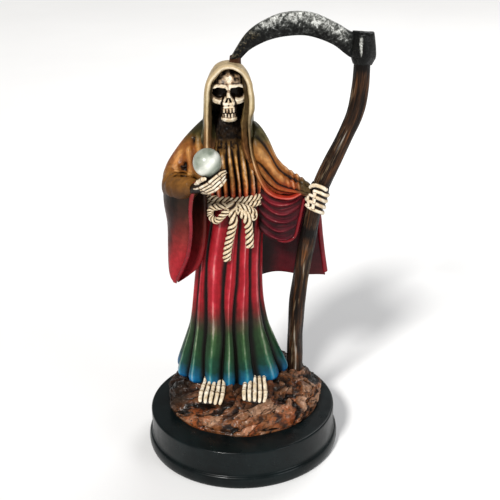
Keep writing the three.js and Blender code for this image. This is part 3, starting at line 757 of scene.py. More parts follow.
@dataclass(frozen=True)
class BonePaint:
    """Cream bone with brown stains, and painted shade in the hollows."""

    name: str
    gloss: Gloss = Gloss(0.46, 0.08, 0.08, 0.2, 0.16)

    def material(self) -> bpy.types.Material:
        """Cloudy cream with brown stains in fine specks, and painted shade, brown to near black, in the
        hollows.
        """
        brush = Brush(self.name, self.gloss)
        cloud = brush.noise(420.0, 4.0)
        paint = brush.mix(brush.spread(cloud, 0.3, 0.7), "d4bf9c", "f4ead6")
        stain_and_shade = brush.noise(700.0, 5.0)
        paint = brush.over(paint, "96683c", stain_and_shade, 0.52, 0.72, 0.75)
        shade_and_tint = brush.layer("shade_and_tint") + (stain_and_shade - 0.5) * 0.7
        paint = brush.over(paint, "6e4822", shade_and_tint, 0.12, 0.42, 0.75)
        paint = brush.over(paint, "140b05", shade_and_tint, 0.34, 0.8)
        return brush.finish(paint, cloud, 0.15)


@dataclass(frozen=True)
class RopePaint:
    """Cream cord whose strands show their lay, with painted shade between them."""

    name: str = "cord_paint"
    gloss: Gloss = Gloss(0.5, 0.08, 0.06, 0.25, 0.14)

    def material(self) -> bpy.types.Material:
        """Cream with fine fibres along the strands, and painted shade, brown to near black, in between."""
        brush = Brush(self.name, self.gloss)
        fibre = brush.noise(2.4, 3.0, 0.0, brush.stretch(brush.layer("grain"), (1.0, 1.0, 0.25)))
        paint = brush.mix(brush.spread(fibre, 0.3, 0.7), "c6ac82", "f2e4ca")
        shade_and_tint = brush.layer("shade_and_tint") + (brush.noise(500.0) - 0.5) * 0.5
        paint = brush.over(paint, "7a5228", shade_and_tint, 0.2, 0.5, 0.8)
        paint = brush.over(paint, "1c0d05", shade_and_tint, 0.42, 0.85)
        return brush.finish(paint, fibre, 0.2)


@dataclass(frozen=True)
class WoodPaint:
    """A rough pole, brown or grey in patches, pale tan on its ridges, with painted shade and a painted
    highlight.
    """

    name: str = "pole_paint"
    gloss: Gloss = Gloss(0.48, 0.1, 0.07, 0.2, 0.1)

    def material(self) -> bpy.types.Material:
        """Noise drawn out along the pole gives the grain, clouds pick brown or grey, painted shade darkens
        it.
        """
        brush = Brush(self.name, self.gloss)
        along = brush.stretch(brush.layer("grain"), (1.0, 1.0, 0.07))
        fibre = brush.noise(0.8, 5.0, 0.4, along)
        fine = brush.noise(2.2, 4.0, 0.0, along)
        crest = brush.layer("crest")
        spots = (0.34, 0.48, 0.6, 0.72, 0.84)
        brown = brush.ramp(fibre, spots, ("0a0604", "20140c", "442a17", "7c4c28", "b08050"))
        grey = brush.ramp(fibre, spots, ("0a0907", "1e1a15", "3a342c", "625a4e", "8c8476"))
        paint = brush.mix(brush.spread(brush.noise(70.0, 3.0), 0.54, 0.74), brown, grey)
        paint = brush.over(paint, "a48c6c", fine * 0.8 + crest * 0.3, 0.66, 0.84, 0.4)
        paint = brush.over(paint, "0c0806", brush.layer("shade_and_tint"), 0.1, 0.9)
        # A pale grey painted highlight where the crest rises above 1, down the pole's front.
        paint = brush.over(paint, "b0aca4", crest, 1.0, 1.6, 0.7)
        return brush.finish(paint, fibre + fine * 0.6, 0.5)


@dataclass(frozen=True)
class BladePaint:
    """Black metal paint, dry brushed with silver on everything that stands up."""

    name: str = "blade_paint"
    gloss: Gloss = Gloss(0.42, 0.1, 0.05, 0.2, 0.1)

    def material(self) -> bpy.types.Material:
        """Specks of silver over black, thick where the crest layer says so, gold tinted where the tint layer
        says so.
        """
        brush = Brush(self.name, self.gloss)
        speck = brush.noise(760.0, 6.0, 0.8)
        coarse = brush.noise(190.0, 4.0)
        dust = speck * 0.9 + coarse * 0.35
        # The crest adds silver; on the socket it carries a painted highlight.
        lightened = dust + brush.layer("crest") * 0.4
        silver = brush.spread(lightened, 0.8, 1.14)
        base = brush.ramp(coarse, (0.3, 0.7), ("040404", "111211"))
        base = brush.over(base, "4c4e4b", lightened, 0.62, 0.94, 0.6)
        light = brush.mix(brush.spread(speck, 0.35, 0.7), "7c7c76", "e3e4df")
        paint = brush.mix(silver, base, light)
        gold = brush.layer("shade_and_tint") * brush.spread(speck, 0.5, 0.68)
        paint = brush.mix(gold, paint, "7a683e")
        join(silver * 0.45, brush.shader.inputs["Metallic"])
        return brush.finish(paint, dust, 0.35)


@dataclass(frozen=True)
class RockPaint:
    """Lacquered rock slabs in browns, rust and grey, with painted shade in the cracks and near the robe's
    hem.
    """

    name: str = "rock_paint"
    gloss: Gloss = Gloss(0.4, 0.12, 0.2, 0.1, 0.14)

    def material(self) -> bpy.types.Material:
        """Each slab takes a tone from its crest layer, noise breaks it up, and painted shade darkens the
        cracks and the top.
        """
        brush = Brush(self.name, self.gloss)
        cloud = brush.noise(170.0, 5.0, 0.6)
        fine = brush.noise(520.0, 5.0)
        crest = brush.layer("crest")
        codes = ("0f0a07", "2e1c13", "50321f", "7c4a28", "7a563e", "a88064")
        paint = brush.ramp(crest * 0.6 + cloud * 0.7, (0.36, 0.48, 0.58, 0.68, 0.8, 0.94), codes)
        rust = brush.spread(brush.noise(80.0, 4.0), 0.48, 0.62, 0.0, 0.6)
        paint = brush.mix(rust * brush.spread(fine, 0.35, 0.6), paint, "96481a")
        lightened = brush.spread(fine, 0.56, 0.72) * brush.spread(crest, 0.4, 0.95)
        paint = brush.mix(lightened, paint, "d8b096")
        paint = brush.over(paint, "140b07", fine, 0.5, 0.34, 0.7)
        # Near black painted shade from the shade layer: cracks, low places and the back.
        paint = brush.over(paint, "0d0906", brush.layer("shade_and_tint"), 0.1, 0.8, 0.93)
        # Painted shade under the robe's hem: the top of the mound darker.
        paint = brush.over(paint, "1a120b", brush.height() + cloud * 9.0, 29.0, 35.5, 0.6)
        return brush.finish(paint, fine * 0.5 + cloud, 0.5, brush.noise(240.0))


@dataclass(frozen=True)
class BlackLacquer:
    """Black lacquer with a faint green-blue depth, tiny waves and a little dust."""

    name: str = "plinth_lacquer"
    gloss: Gloss = Gloss(0.32, 0.06, 0.1, 0.1, 0.12)

    def material(self) -> bpy.types.Material:
        """Nearly black, slightly greener in clouds, with sparse pale specks."""
        brush = Brush(self.name, self.gloss)
        paint = brush.ramp(brush.noise(60.0, 4.0), (0.35, 0.65), ("060a0b", "0f1718"))
        dust = brush.noise(1500.0, 2.0)
        paint = brush.over(paint, "6a746e", dust, 0.7, 0.78, 0.35)
        return brush.finish(paint, brush.noise(90.0, 2.0) + dust * 0.12, 0.12)


@dataclass(frozen=True)
class PearlCoat:
    """The pearly coat of a bead, with a painted band of sheen."""

    name: str = "pearl_coat"
    across: Triple = (0.72, 0.0, -0.69)
    middle: float = -105.4
    gloss: Gloss = Gloss(0.34, 0.04, 0.4, 0.2, 0.45)

    def material(self) -> bpy.types.Material:
        """Grey green clouds; a pale painted sheen lies across as a band, where the distance from a slanting
        plane is small.
        """
        brush = Brush(self.name, self.gloss)
        cloud = brush.noise(170.0, 3.0)
        node = brush.node("ShaderNodeVectorMath", operation="DOT_PRODUCT")
        join(brush.place, node.inputs[0])
        join([share / MM for share in self.across], node.inputs[1])
        away = (Value(node.outputs["Value"]) - self.middle + cloud * 3.0).maths("ABSOLUTE")
        dull = brush.ramp(cloud, (0.35, 0.65), ("7c8476", "acb2a4"))
        pale = brush.ramp(cloud, (0.35, 0.65), ("d2d4ca", "f4f4ec"))
        paint = brush.mix(brush.spread(away, 0.2, 2.8), pale, dull)
        brush.shader.inputs["Subsurface Weight"].default_value = 0.2
        brush.shader.inputs["Subsurface Radius"].default_value = (0.003, 0.003, 0.003)
        return brush.finish(paint, brush.noise(300.0, 2.0), 0.03)


def folds(valleys: Array, samples: int) -> tuple[Array, Array]:
    """Angles round a garment, and the height of the cloth between two valleys.

    A ridge stands between two valleys: the sine of pi times the share of the way, to the power 0.6.

    Args:
        valleys: Angles of the valleys, one row for each ring.
        samples: How many points lie from one valley to the next.

    Returns:
        Angles and heights, one row for each ring.
    """
    between = np.arange(samples) / samples
    following = np.concatenate([valleys[:, 1:], valleys[:, :1] + TURN], axis=1)
    angles = valleys[..., None] + (following - valleys)[..., None] * between
    heights = np.broadcast_to(np.sin(np.pi * between) ** 0.6, angles.shape)
    return angles.reshape(len(valleys), -1), heights.reshape(len(valleys), -1)


def ellipses(shape: Sequence[Array], reach: Array, angle: Array, height: Array) -> Array:
    """Rings of points: each middle plus half width times sine, and less half depth times cosine.

    Args:
        shape: Middle and half width from left to right, then middle and half depth from front to back.
        reach: Share of the half sizes that a point stands off.
        angle: Angles from the front.
        height: Heights of the points.

    Returns:
        The points.
    """
    cx, a, cy, b = shape
    return together(cx + a * reach * np.sin(angle), cy - b * reach * np.cos(angle), height)


@dataclass
class Robe:
    """The gown: skirt in deep folds, bloused chest in narrow pleats.

    A profile's rows are height, middle and half width from left to right, middle and half depth from front
    to back, and depth of the folds as a share. The valleys are angles from the front: those of the skirt at
    the hem and at the waist. The samples are points from one valley to the next.
    """

    skirt_profile: Rows = (
        (13, -4.4, 26.4, 11.0, 19.0, 0.15), (15, -4.5, 26.2, 10.8, 18.8, 0.15),
        (21.5, -4.9, 23.8, 9.6, 16.8, 0.15), (30, -5.1, 20.9, 8.4, 15.0, 0.14),
        (38.5, -5.3, 18.3, 7.4, 13.6, 0.13), (55, -5.3, 15.9, 5.6, 11.8, 0.11),
        (75, -4.0, 14.5, 4.0, 10.3, 0.10), (98, -1.2, 13.3, 3.0, 9.2, 0.07),
    )
    skirt_valleys: Rows = (
        (-2.75, -2.7), (-2.1, -2.15), (-1.5, -1.5), (-1.0, -1.12), (-0.56, -0.78), (-0.2, -0.1), (0.08, 0.24),
        (0.46, 0.74), (1.15, 1.25), (1.7, 1.75), (2.3, 2.25), (2.85, 2.8),
    )
    chest_profile: Rows = (
        (97, -1.2, 12.6, 3.2, 8.9, 0.04), (101, -1.2, 13.4, 3.2, 9.4, 0.05),
        (105, -1.3, 15.0, 3.6, 11.0, 0.09), (111, -1.5, 15.2, 4.0, 11.2, 0.09),
        (119, -2.2, 14.6, 4.2, 10.8, 0.06), (125, -2.6, 13.2, 4.0, 9.6, 0.02),
        (135, -2.8, 8.4, 3.6, 7.2, 0.0), (139, -2.6, 4.2, 3.0, 5.0, 0.0),
    )
    chest_valleys: Sequence[float] = (
        -2.9, -2.55, -2.15, -1.8, -1.4, -1.08, -0.8, -0.56, -0.35, -0.12, 0.08, 0.26, 0.49,
        0.73, 0.97, 1.3, 1.65, 2.05, 2.4, 2.75,
    )
    skirt_rings: int = 184
    chest_rings: tuple[int, int] = (36, 84)
    skirt_samples: int = 26
    chest_samples: int = 22

    def skirt(self) -> Skin:
        """Ellipses round a moving centre; the folds pull each ring in by the fold depth at the valleys."""
        lip = np.array([0.0, 0.35, 0.7, 1.0])
        edge = np.array([0.93, 0.955, 0.985, 1.0])
        hem_level, waist_level = 13.4, 99.5
        tall = hem_level + (waist_level - hem_level) * np.linspace(0.0, 1.0, self.skirt_rings) ** 1.15
        z = np.concatenate([13.6 - 1.3 * np.sin(np.pi * lip), tall[1:]])[:, None]
        tuck = np.concatenate([edge, np.ones(len(tall) - 1)])[:, None]
        *shape, depth = read(self.skirt_profile, np.maximum(z, 13.0))
        hem, waist = np.array(self.skirt_valleys).T
        which = np.arange(len(hem))
        share = np.clip((z - 13.0) / 50.0, 0.0, 1.0)
        drift = 0.035 * np.sin(z / 9.0 + 2.1 * which)
        valleys = hem + (waist - hem) * share + drift * np.minimum(share * 2.0, 1.0)
        angles, up = folds(valleys, self.skirt_samples)
        place = together(angles * 8.0, z / 14.0, 0.0)
        creases = 0.012 * rough(place, 1.6, 3, 2) * up
        between = np.arange(self.skirt_samples) / self.skirt_samples
        split = bell(between, 0.62, 0.07) * (which[:, None] % 3 != 1)
        minor = -0.02 * split.ravel() * bell(z, 62.0, 30.0)
        reach = (1.0 - depth * (1.0 - up) + creases + minor) * tuck
        hang = -0.9 * up * bell(z, 12.6, 2.2)
        stains = 0.35 * ease(rough(place * np.array([1.0, 0.5, 1.0]), 2.4, 7, 2), 0.1, 0.9)
        # Painted shade in the valleys and under the hem's lip, plus random stains.
        shade_and_tint = np.clip((0.66 - up) / 0.45, 0.0, 1.0) + (z < 13.0) * 0.3 + stains
        # The crest puts painted highlights on the ridges, palest on their very tops.
        crest = 0.95 * up**1.8 + 0.16 * ease(up, 0.985, 1.0) + 20.0 * minor
        return Skin(ellipses(shape, reach, angles, z + hang), np.clip(shade_and_tint, 0.0, 1.0), crest)

    def chest(self) -> Skin:
        """Ellipses round a moving centre with narrow pleats, which end in a stippled yoke under the neck."""
        waist, blouse, neck = 97.0, 108.0, 139.0
        below, above = self.chest_rings
        z = np.concatenate([np.linspace(waist, blouse, below), np.linspace(blouse, neck, above)[1:]])[:, None]
        *shape, depth = read(self.chest_profile, z)
        which = np.arange(len(self.chest_valleys))
        valleys = np.array(self.chest_valleys) + 0.02 * np.sin(z / 6.0 + 2.7 * which)
        angles, up = folds(valleys, self.chest_samples)
        top = np.repeat(127.0 + 2.4 * np.sin(2.9 * which), self.chest_samples)
        pleated = 1.0 - ease(z - top, -3.0, 2.0)
        rear = ease(np.abs(angles), 1.2, 1.7)
        scallop = 0.9 * (1.0 - up) * bell(z, 104.0, 2.0)
        points = ellipses(shape, 1.0 - depth * 1.9 * (1.0 - up) * pleated, angles, z + scallop)
        points[..., 1] -= 0.22 * rough(points, 1.1, 11, 2) * (1.0 - pleated)
        stipple = 0.4 + 0.55 * rough(points, 0.85, 31, 2)
        ridge = 1.1 * up**2.2 * (1.0 - rear) + (0.3 + 0.5 * up) * rear
        crest = ridge * pleated + stipple * (1.0 - pleated)
        # Painted shade in the pleats' valleys, under the blouse above the belt and under the chin.
        shade_and_tint = np.clip((0.92 - 0.2 * rear - up) / 0.3, 0.0, 1.0) * pleated * (1.0 - 0.3 * rear)
        under = 0.9 * (1.0 - ease(z, 102.0, 104.4)) + 0.7 * ease(z, 127.4, 130.0)
        return Skin(points, np.clip(np.maximum(shade_and_tint, under), 0.0, 1.0), crest)

    def build(self) -> list[bpy.types.Object]:
        """Makes the skirt and the chest."""
        skirt = ClothPaint(
            "skirt_paint",
            (
                Band(27, "02162e", "0460ac", "1a94dc"), Band(32, "021820", "0a5880", "2294bc"),
                Band(38, "04140e", "0c382e", "2a7460"), Band(45, "081208", "17381e", "447048"),
                Band(56, "0a1008", "20341a", "4c6c3e"), Band(61, "120c08", "3a2c20", "6e5a48"),
                Band(66, "240406", "701618", "b04040"), Band(72, "2c0306", "961420", "d03c4a"),
                Band(92, "2c0306", "9a1520", "d03c4a"), Band(118, "240304", "741218", "ac3238"),
            ),
            waver=3.5,
            glint=0.3,
        ).material()
        chest = ClothPaint(
            "chest_paint",
            (
                Band(114, "240304", "7a161c", "c0424a"), Band(122, "300604", "962418", "e05834"),
                Band(127, "301004", "a05422", "f09850"), Band(132, "2a1204", "9a6028", "f2b468"),
                Band(139, "221004", "84561e", "dca45c"), Band(143, "1a0e05", "6a4a24", "96703a"),
                Band(148, "120b05", "4a3418", "7a5c30"), Band(154, "0a0704", "33241a", "5a4632"),
            ),
            waver=2.5,
            stipple=0.45,
            gloss=MATT,
        ).material()
        return [
            make_piece("robe_skirt", [self.skirt()], skirt),
            make_piece("robe_chest", [self.chest()], chest),
        ]


@dataclass
class Hood:
    """The hood, open in front, with its rolled rim that runs on as the mantle's hem.

    The outline's rows are height, middle, half width, back and front. The opening's are height and the
    distance of its left and its right lip from the middle. Rim and lining are paths with a half size.
    """

    outline: Rows = (
        (118, -3.6, 13.0, 15.0, -5.4), (128, -3.6, 12.0, 15.2, -5.6), (136, -3.0, 10.5, 14.9, -5.8),
        (145, -2.6, 10.4, 14.8, -5.8), (150, -2.4, 9.8, 14.4, -6.0), (154, -2.2, 8.5, 13.2, -5.7),
        (157.0, -2.2, 6.9, 11.2, -5.3), (159.3, -2.3, 4.4, 8.6, -4.8), (160, -2.4, 0.15, 1.4, 1.1),
    )
    opening: Rows = (
        (118, 8.7, 11.2), (127, 8.7, 9.4), (134, 8.8, 8.7), (141, 8.9, 9.4), (148.4, 8.8, 9.4),
        (151.5, 8.1, 9.0), (153.6, 7.4, 8.0), (156.4, 5.3, 6.5), (158.0, 3.6, 4.8), (158.9, 1.6, 2.8),
        (159.5, 0.2, 0.2), (160, 0.0, 0.0),
    )
    rim: Rows = (
        (-12.4, -9.0, 116, 1.0), (-12.1, -8.0, 124, 1.1), (-11.8, -7.2, 134, 1.1), (-11.5, -6.8, 142.6, 1.05),
        (-10.9, -6.3, 150.6, 1.1), (-9.4, -5.8, 154.8, 1.1), (-5.4, -5.2, 158.8, 1.05),
        (-2.3, -4.9, 159.6, 1.05), (1.1, -5.0, 158.9, 1.05), (4.0, -5.4, 156.8, 1.1),
        (6.0, -5.9, 153.0, 1.15), (7.0, -6.4, 146.6, 1.25), (6.7, -6.8, 141.8, 1.3), (5.9, -7.2, 137.0, 0.8),
        (5.8, -7.5, 133.0, 0.6), (6.1, -7.8, 127.5, 0.6), (7.2, -8.0, 121.0, 0.85), (9.6, -8.2, 113.6, 1.1),
        (13.0, -8.2, 107.6, 1.1), (18.0, -8.0, 104.7, 1.0), (23.0, -7.2, 104.1, 0.9),
        (27.4, -5.6, 105.8, 0.8),
    )
    lining: Sequence[Rows] = (
        (
            (3.6, -3.4, 155.0, 0.8), (4.9, -4.6, 151.0, 1.2), (5.2, -5.2, 146.5, 1.3),
            (4.8, -5.7, 142.0, 1.5), (4.0, -6.2, 137.0, 1.6), (3.7, -6.6, 132.5, 1.5),
            (3.9, -7.1, 127.0, 1.3), (5.4, -7.4, 121.0, 1.1),
        ),
        (
            (-8.9, -3.8, 153.6, 0.7), (-10.2, -4.9, 149.0, 1.0), (-10.5, -5.6, 143.0, 1.1),
            (-10.7, -6.2, 136.0, 1.1), (-10.7, -6.8, 129.0, 1.0), (-11.0, -7.6, 122.0, 0.9),
        ),
    )
    wall: float = 2.0
    wall_rings: int = 90
    crown_rings: int = 60
    columns: int = 120

    def shell(self) -> Skin:
        """An outline round each level, from one lip round the back to the other, and back along the inside.

        In front the outline is a rounded square, behind an ellipse. The inside is the outline drawn in by
        the wall. The lips follow the opening, which closes under the crown.
        """
        low, bend, crown = 118.0, 150.0, 160.0
        round_top = bend + (crown - bend) * np.sin(0.5 * np.pi * np.linspace(0.0, 1.0, self.crown_rings))
        z = np.concatenate([np.linspace(low, bend, self.wall_rings), round_top[1:]])[:, None]
        cx, half, back, front = read(self.outline, z)
        left, right = read(self.opening, z)
        middle = front + 0.45 * (back - front)
        start = np.arcsin(np.clip((right / half) ** 2, 0.0, 0.97))
        stop = TURN - np.arcsin(np.clip((left / half) ** 2, 0.0, 0.97))
        angle = start + (stop - start) * np.linspace(0.0, 1.0, self.columns)
        sine, cosine = np.sin(angle), np.cos(angle)
        x = half * np.where(cosine > 0.0, np.sign(sine) * np.abs(sine) ** 0.5, sine)
        y = np.where(cosine > 0.0, -(middle - front) * np.abs(cosine) ** 0.5, (back - middle) * -cosine)
        fold = 0.35 * np.sin(7.0 * angle + 0.06 * z) * (1.0 - ease(z, 138.0, bend))
        reach = np.hypot(x, y)
        grow = 1.0 + fold / np.maximum(reach, 3.0)
        shrink = np.clip(1.0 - self.wall / np.maximum(reach, self.wall * 1.05), 0.05, 1.0)
        outer = together(cx + x * grow, middle + y * grow, z)
        inner = together(cx + x * shrink, middle + y * shrink, z - 0.6 * (z > bend))
        # The folds' crest places painted highlights; the inside is painted lighter, towards the highlight
        # colour.
        return sheet(outer, inner, (0.0, 0.0), (0.62 + fold, 0.95))

    def roll(self) -> Skin:
        """The rim: an uneven tube along the opening, deep enough beside the face to meet the hood."""
        deep = [0.9 * (115.0 < stop[2]) for stop in self.rim]
        stops = [(x, y + more, z, half, half + more) for (x, y, z, half), more in zip(self.rim, deep)]
        bumps = np.array([3.0, 11.0, 23.0])

        def reach(share: Array, angle: Array) -> Array:
            """A share of 1 with three slow waves."""
            return 1.0 + 0.05 * np.sin(TURN * bumps * share[..., None] + angle[..., None]).sum(-1)

        def relief(share: Array, angle: Array) -> Array:
            """Painted highlight: lighter above, and lightest along one narrow line."""
            return 0.5 + 0.2 * np.sin(angle) + 0.5 * bell(np.cos(angle - 1.9), 1.0, 0.12)

        return Tube(stops, steps=260, sides=24, up=FORWARD_UP).skin(reach, 0.0, relief)

    def turned_in(self) -> list[Skin]:
        """The cloth turned in beside the face: two rolls with slow waves and narrow pleats."""

        def reach(share: Array, angle: Array) -> Array:
            """A share of 1 with two slow waves."""
            slow = 0.1 * np.sin(TURN * 2.6 * share + 2.0 * angle)
            return 1.0 + slow + 0.06 * np.sin(TURN * 7.0 * share + angle)

        def relief(share: Array, angle: Array) -> Array:
            """Crest along narrow pleats, where the painted highlights lie."""
            return 0.5 + 0.5 * bell(np.sin(angle + 1.2 * share), 0.2, 0.3)

        tubes = [Tube(stops, steps=120, sides=40, up=FORWARD_UP, blunt=0.04) for stops in self.lining]
        return [tube.skin(reach, 0.0, relief) for tube in tubes]

    def build(self) -> list[bpy.types.Object]:
        """Makes the hood, its rim and the cloth turned in."""
        hood = ClothPaint(
            "hood_paint",
            (
                Band(136, "140c05", "5a3818", "a06a34"), Band(142, "0c0a06", "2a2212", "52432a"),
                Band(151, "0c0b07", "38341f", "625c3c"), Band(157, "1c170c", "847c5e", "b8ac88"),
                Band(164, "3a2e1a", "b0a07c", "d6c6a0"), Band(172, "4a3a22", "b8a07a", "dccaa6"),
                Band(178, "5a4830", "c0aa84", "e6d6b8"),
            ),
            waver=3.0,
            stipple=0.3,
        ).material()
        rim = ClothPaint(
            "rim_paint",
            (
                Band(121, "300804", "9c1e16", "c8302a"), Band(125, "300c04", "8c2c16", "b8502e"),
                Band(130, "2c1404", "7c441c", "b07440"), Band(140, "2c1806", "6e4620", "d4aa78"),
                Band(152, "2c1c0a", "70502a", "d0aa7a"), Band(163, "3c3018", "a08c64", "d0be96"),
                Band(170, "4a3a22", "b8a078", "e4d2ae"), Band(178, "5a4830", "c8b28c", "ecdcc0"),
            ),
            patches=(Patch((5.4, -7.6, 131.0), 8.0, 13.0, "4a4026", 0.5),),
            waver=3.0,
            ridge=0.9,
            glint=0.12,
        ).material()
        lining = ClothPaint(
            "lining_paint",
            (
                Band(140, "1c0e05", "6a4020", "a87444"), Band(152, "140d06", "4a3418", "86663a"),
                Band(160, "120c06", "46361c", "7c6a44"), Band(172, "140e08", "3a2c18", "6a5838"),
            ),
            waver=3.0,
            stipple=0.3,
            gloss=MATT,
        ).material()
        return [
            make_piece("hood", [self.shell()], hood),
            make_piece("hood_rim", [self.roll()], rim),
            make_piece("hood_lining", self.turned_in(), lining),
        ]


@dataclass
class Skull:
    """The bare skull: a height field of the face over its outline, closed behind.

    The outline's rows are height, half width and front.
    """

    outline: Rows = (
        (137.2, 3.2, -5.8), (137.8, 3.7, -6.6), (139.6, 3.8, -6.9), (141.6, 4.0, -7.0), (143.6, 4.6, -6.9),
        (145.2, 6.9, -6.7), (147.4, 7.2, -6.6), (150.4, 7.1, -6.5), (153.4, 6.6, -5.6), (156.2, 4.9, -3.6),
        (158.4, 2.0, -0.8),
    )
    middle: float = -2.4
    rings: int = 224
    columns: int = 196
    rear_columns: int = 12

    def skin(self) -> Skin:
        """The face curves back towards its outline; sockets, nose, cheeks, brow and teeth are added bumps."""
        z = np.linspace(self.outline[0][0], self.outline[-1][0], self.rings)[:, None]
        half, front = read(self.outline, z)
        share = np.sin(0.5 * np.pi * np.linspace(-1.0, 1.0, self.columns))[None, :]
        x = half * share
        side = np.abs(x)
        y = front + 5.2 * (1.0 - np.sqrt(1.0 - 0.96 * np.abs(share) ** 2.2))
        drop = z - 149.15 + 0.1 * (side - 3.5)
        wobble = 0.03 * np.sin(2.3 * x + 0.9) + 0.04 * np.sin(3.1 * z + 1.4 * x)
        hole = ((np.abs(side - 3.6) / 3.05) ** 2.5 + (np.abs(drop) / 2.45) ** 2.5) ** 0.4 + wobble
        socket = 1.0 - ease(hole, 0.8, 1.05)
        rim = bell(hole, 1.16, 0.13)
        nose_side = 0.35 + 0.42 * np.clip(148.4 - z, 0.0, 3.0)
        nose_bone = 1.0 - ease(side, nose_side + 0.45, nose_side + 0.85)
        nose_bone = nose_bone * ease(z, 143.9, 144.7) * (1.0 - ease(z, 148.6, 149.4))
        flank = bell(side, nose_side + 1.3, 0.45, 4.0) * ease(z, 143.4, 144.0) * (1.0 - ease(z, 147.6, 148.4))
        root = bell(side, 0.0, 1.3, 4.0) * bell(z, 150.0, 0.6, 4.0)
        bridge = bell(x, 0.0, 1.2) * bell(z, 150.9, 1.1)
        slit_side = 0.4 + 0.28 * (147.6 - z)
        slit = bell(side, slit_side, 0.42, 4.0) * ease(z, 145.5, 145.8) * (1.0 - ease(z, 147.4, 147.8))
        spine = bell(x, 0.0, 0.5) * bell(z, 144.3, 0.45)
        cheek = bell(side, 4.5, 2.3, 4.0) * bell(z, 145.9, 1.15, 4.0)
        brow = bell(side, 3.5, 2.9, 4.0) * bell(z, 151.7 - 0.12 * (side - 3.0), 0.5)
        above = ease(side, 1.0, 2.4) * bell(z, 152.7 - 0.12 * (side - 3.0), 0.45)
        hollow = ease(side, 3.1, 3.7) * (1.0 - ease(z, 143.6, 144.7))
        under = bell(z, 143.9, 0.45) * ease(side, 1.6, 2.4)
        temple = ease(side, 4.6, 6.0) * ease(z, 151.5, 152.8)
        jaw = (1.0 - ease(side, 2.9, 3.4)) * (1.0 - ease(z, 143.2, 143.8))
        mouth = bell(z, 141.15, 0.2) * (1.0 - ease(side, 2.6, 3.1))
        rows = bell(z, 141.25, 1.85, 6.0) * (1.0 - ease(side, 2.5, 3.0))
        slits = bell(np.mod(x / 1.35 + 0.5 * (z > 141.15), 1.0), 0.5, 0.25) * rows
        gums = bell(np.abs(z - 141.2), 1.95, 0.25) * (1.0 - ease(side, 2.5, 3.0))
        chin = bell(x, 0.0, 2.6, 4.0) * bell(z, 138.6, 0.8)
        y = y + 4.0 * socket - 0.45 * rim + 0.5 * flank + 0.3 * root - 0.9 * nose_bone + 1.5 * slit
        y = y + 0.5 * spine - 0.9 * cheek - 0.5 * brow + 0.3 * above + 0.4 * bridge + 2.2 * hollow
        y = y + 0.7 * under + 0.6 * temple - 0.5 * jaw + 0.8 * mouth + 0.5 * slits + 0.25 * gums
        y = y - 0.25 * rows - 0.35 * chin
        fine = rough(together(x, y, z), 1.6, 5, 3)
        y = y + 0.08 * fine
        # Painted shade in the sockets, nose, hollows, mouth and teeth, at the mouth's corners, temples and
        # the face's sides, and a painted shadow on the forehead; less on the sockets' rims; random specks of
        # stain.
        corner = ease(side, 2.2, 2.8) * bell(z, 141.4, 2.4, 6.0)
        forehead = ease(z, 152.2, 153.0)
        halo = 0.5 * ease(np.hypot((x + 0.1) / 2.6, (z - 154.6) / 2.6), 0.45, 1.05) + 0.2
        shade_and_tint = 1.2 * socket + 0.95 * flank + 0.42 * root + 1.1 * slit + 0.85 * spine + 0.95 * hollow
        shade_and_tint = shade_and_tint + 0.9 * under + 0.95 * mouth + 1.1 * slits + 0.4 * gums + corner + 0.5 * bridge
        shade_and_tint = shade_and_tint + 0.6 * temple + 0.5 * ease(np.abs(share), 0.8, 0.95) + forehead * halo + 0.2 * above
        speckled = 0.3 * fine * (shade_and_tint < 0.8)
        shade_and_tint = shade_and_tint + 0.25 * bell(side, 0.9, 0.35) * bell(z, 148.4, 1.0) + speckled - 0.2 * rim
        # The hidden back is painted as full shade.
        behind = np.linspace(0.92, -0.92, self.rear_columns)
        rear = together(self.middle + half * behind, 4.5 - behind**2, z)
        points = np.concatenate([together(self.middle + x, y, z), rear], axis=1)
        return Skin(points, np.concatenate([np.clip(shade_and_tint, 0.0, 1.0), np.ones(rear.shape[:2])], axis=1))

    def build(self) -> bpy.types.Object:
        """Makes the skull."""
        return make_piece("skull", [self.skin()], BonePaint("skull_paint").material())


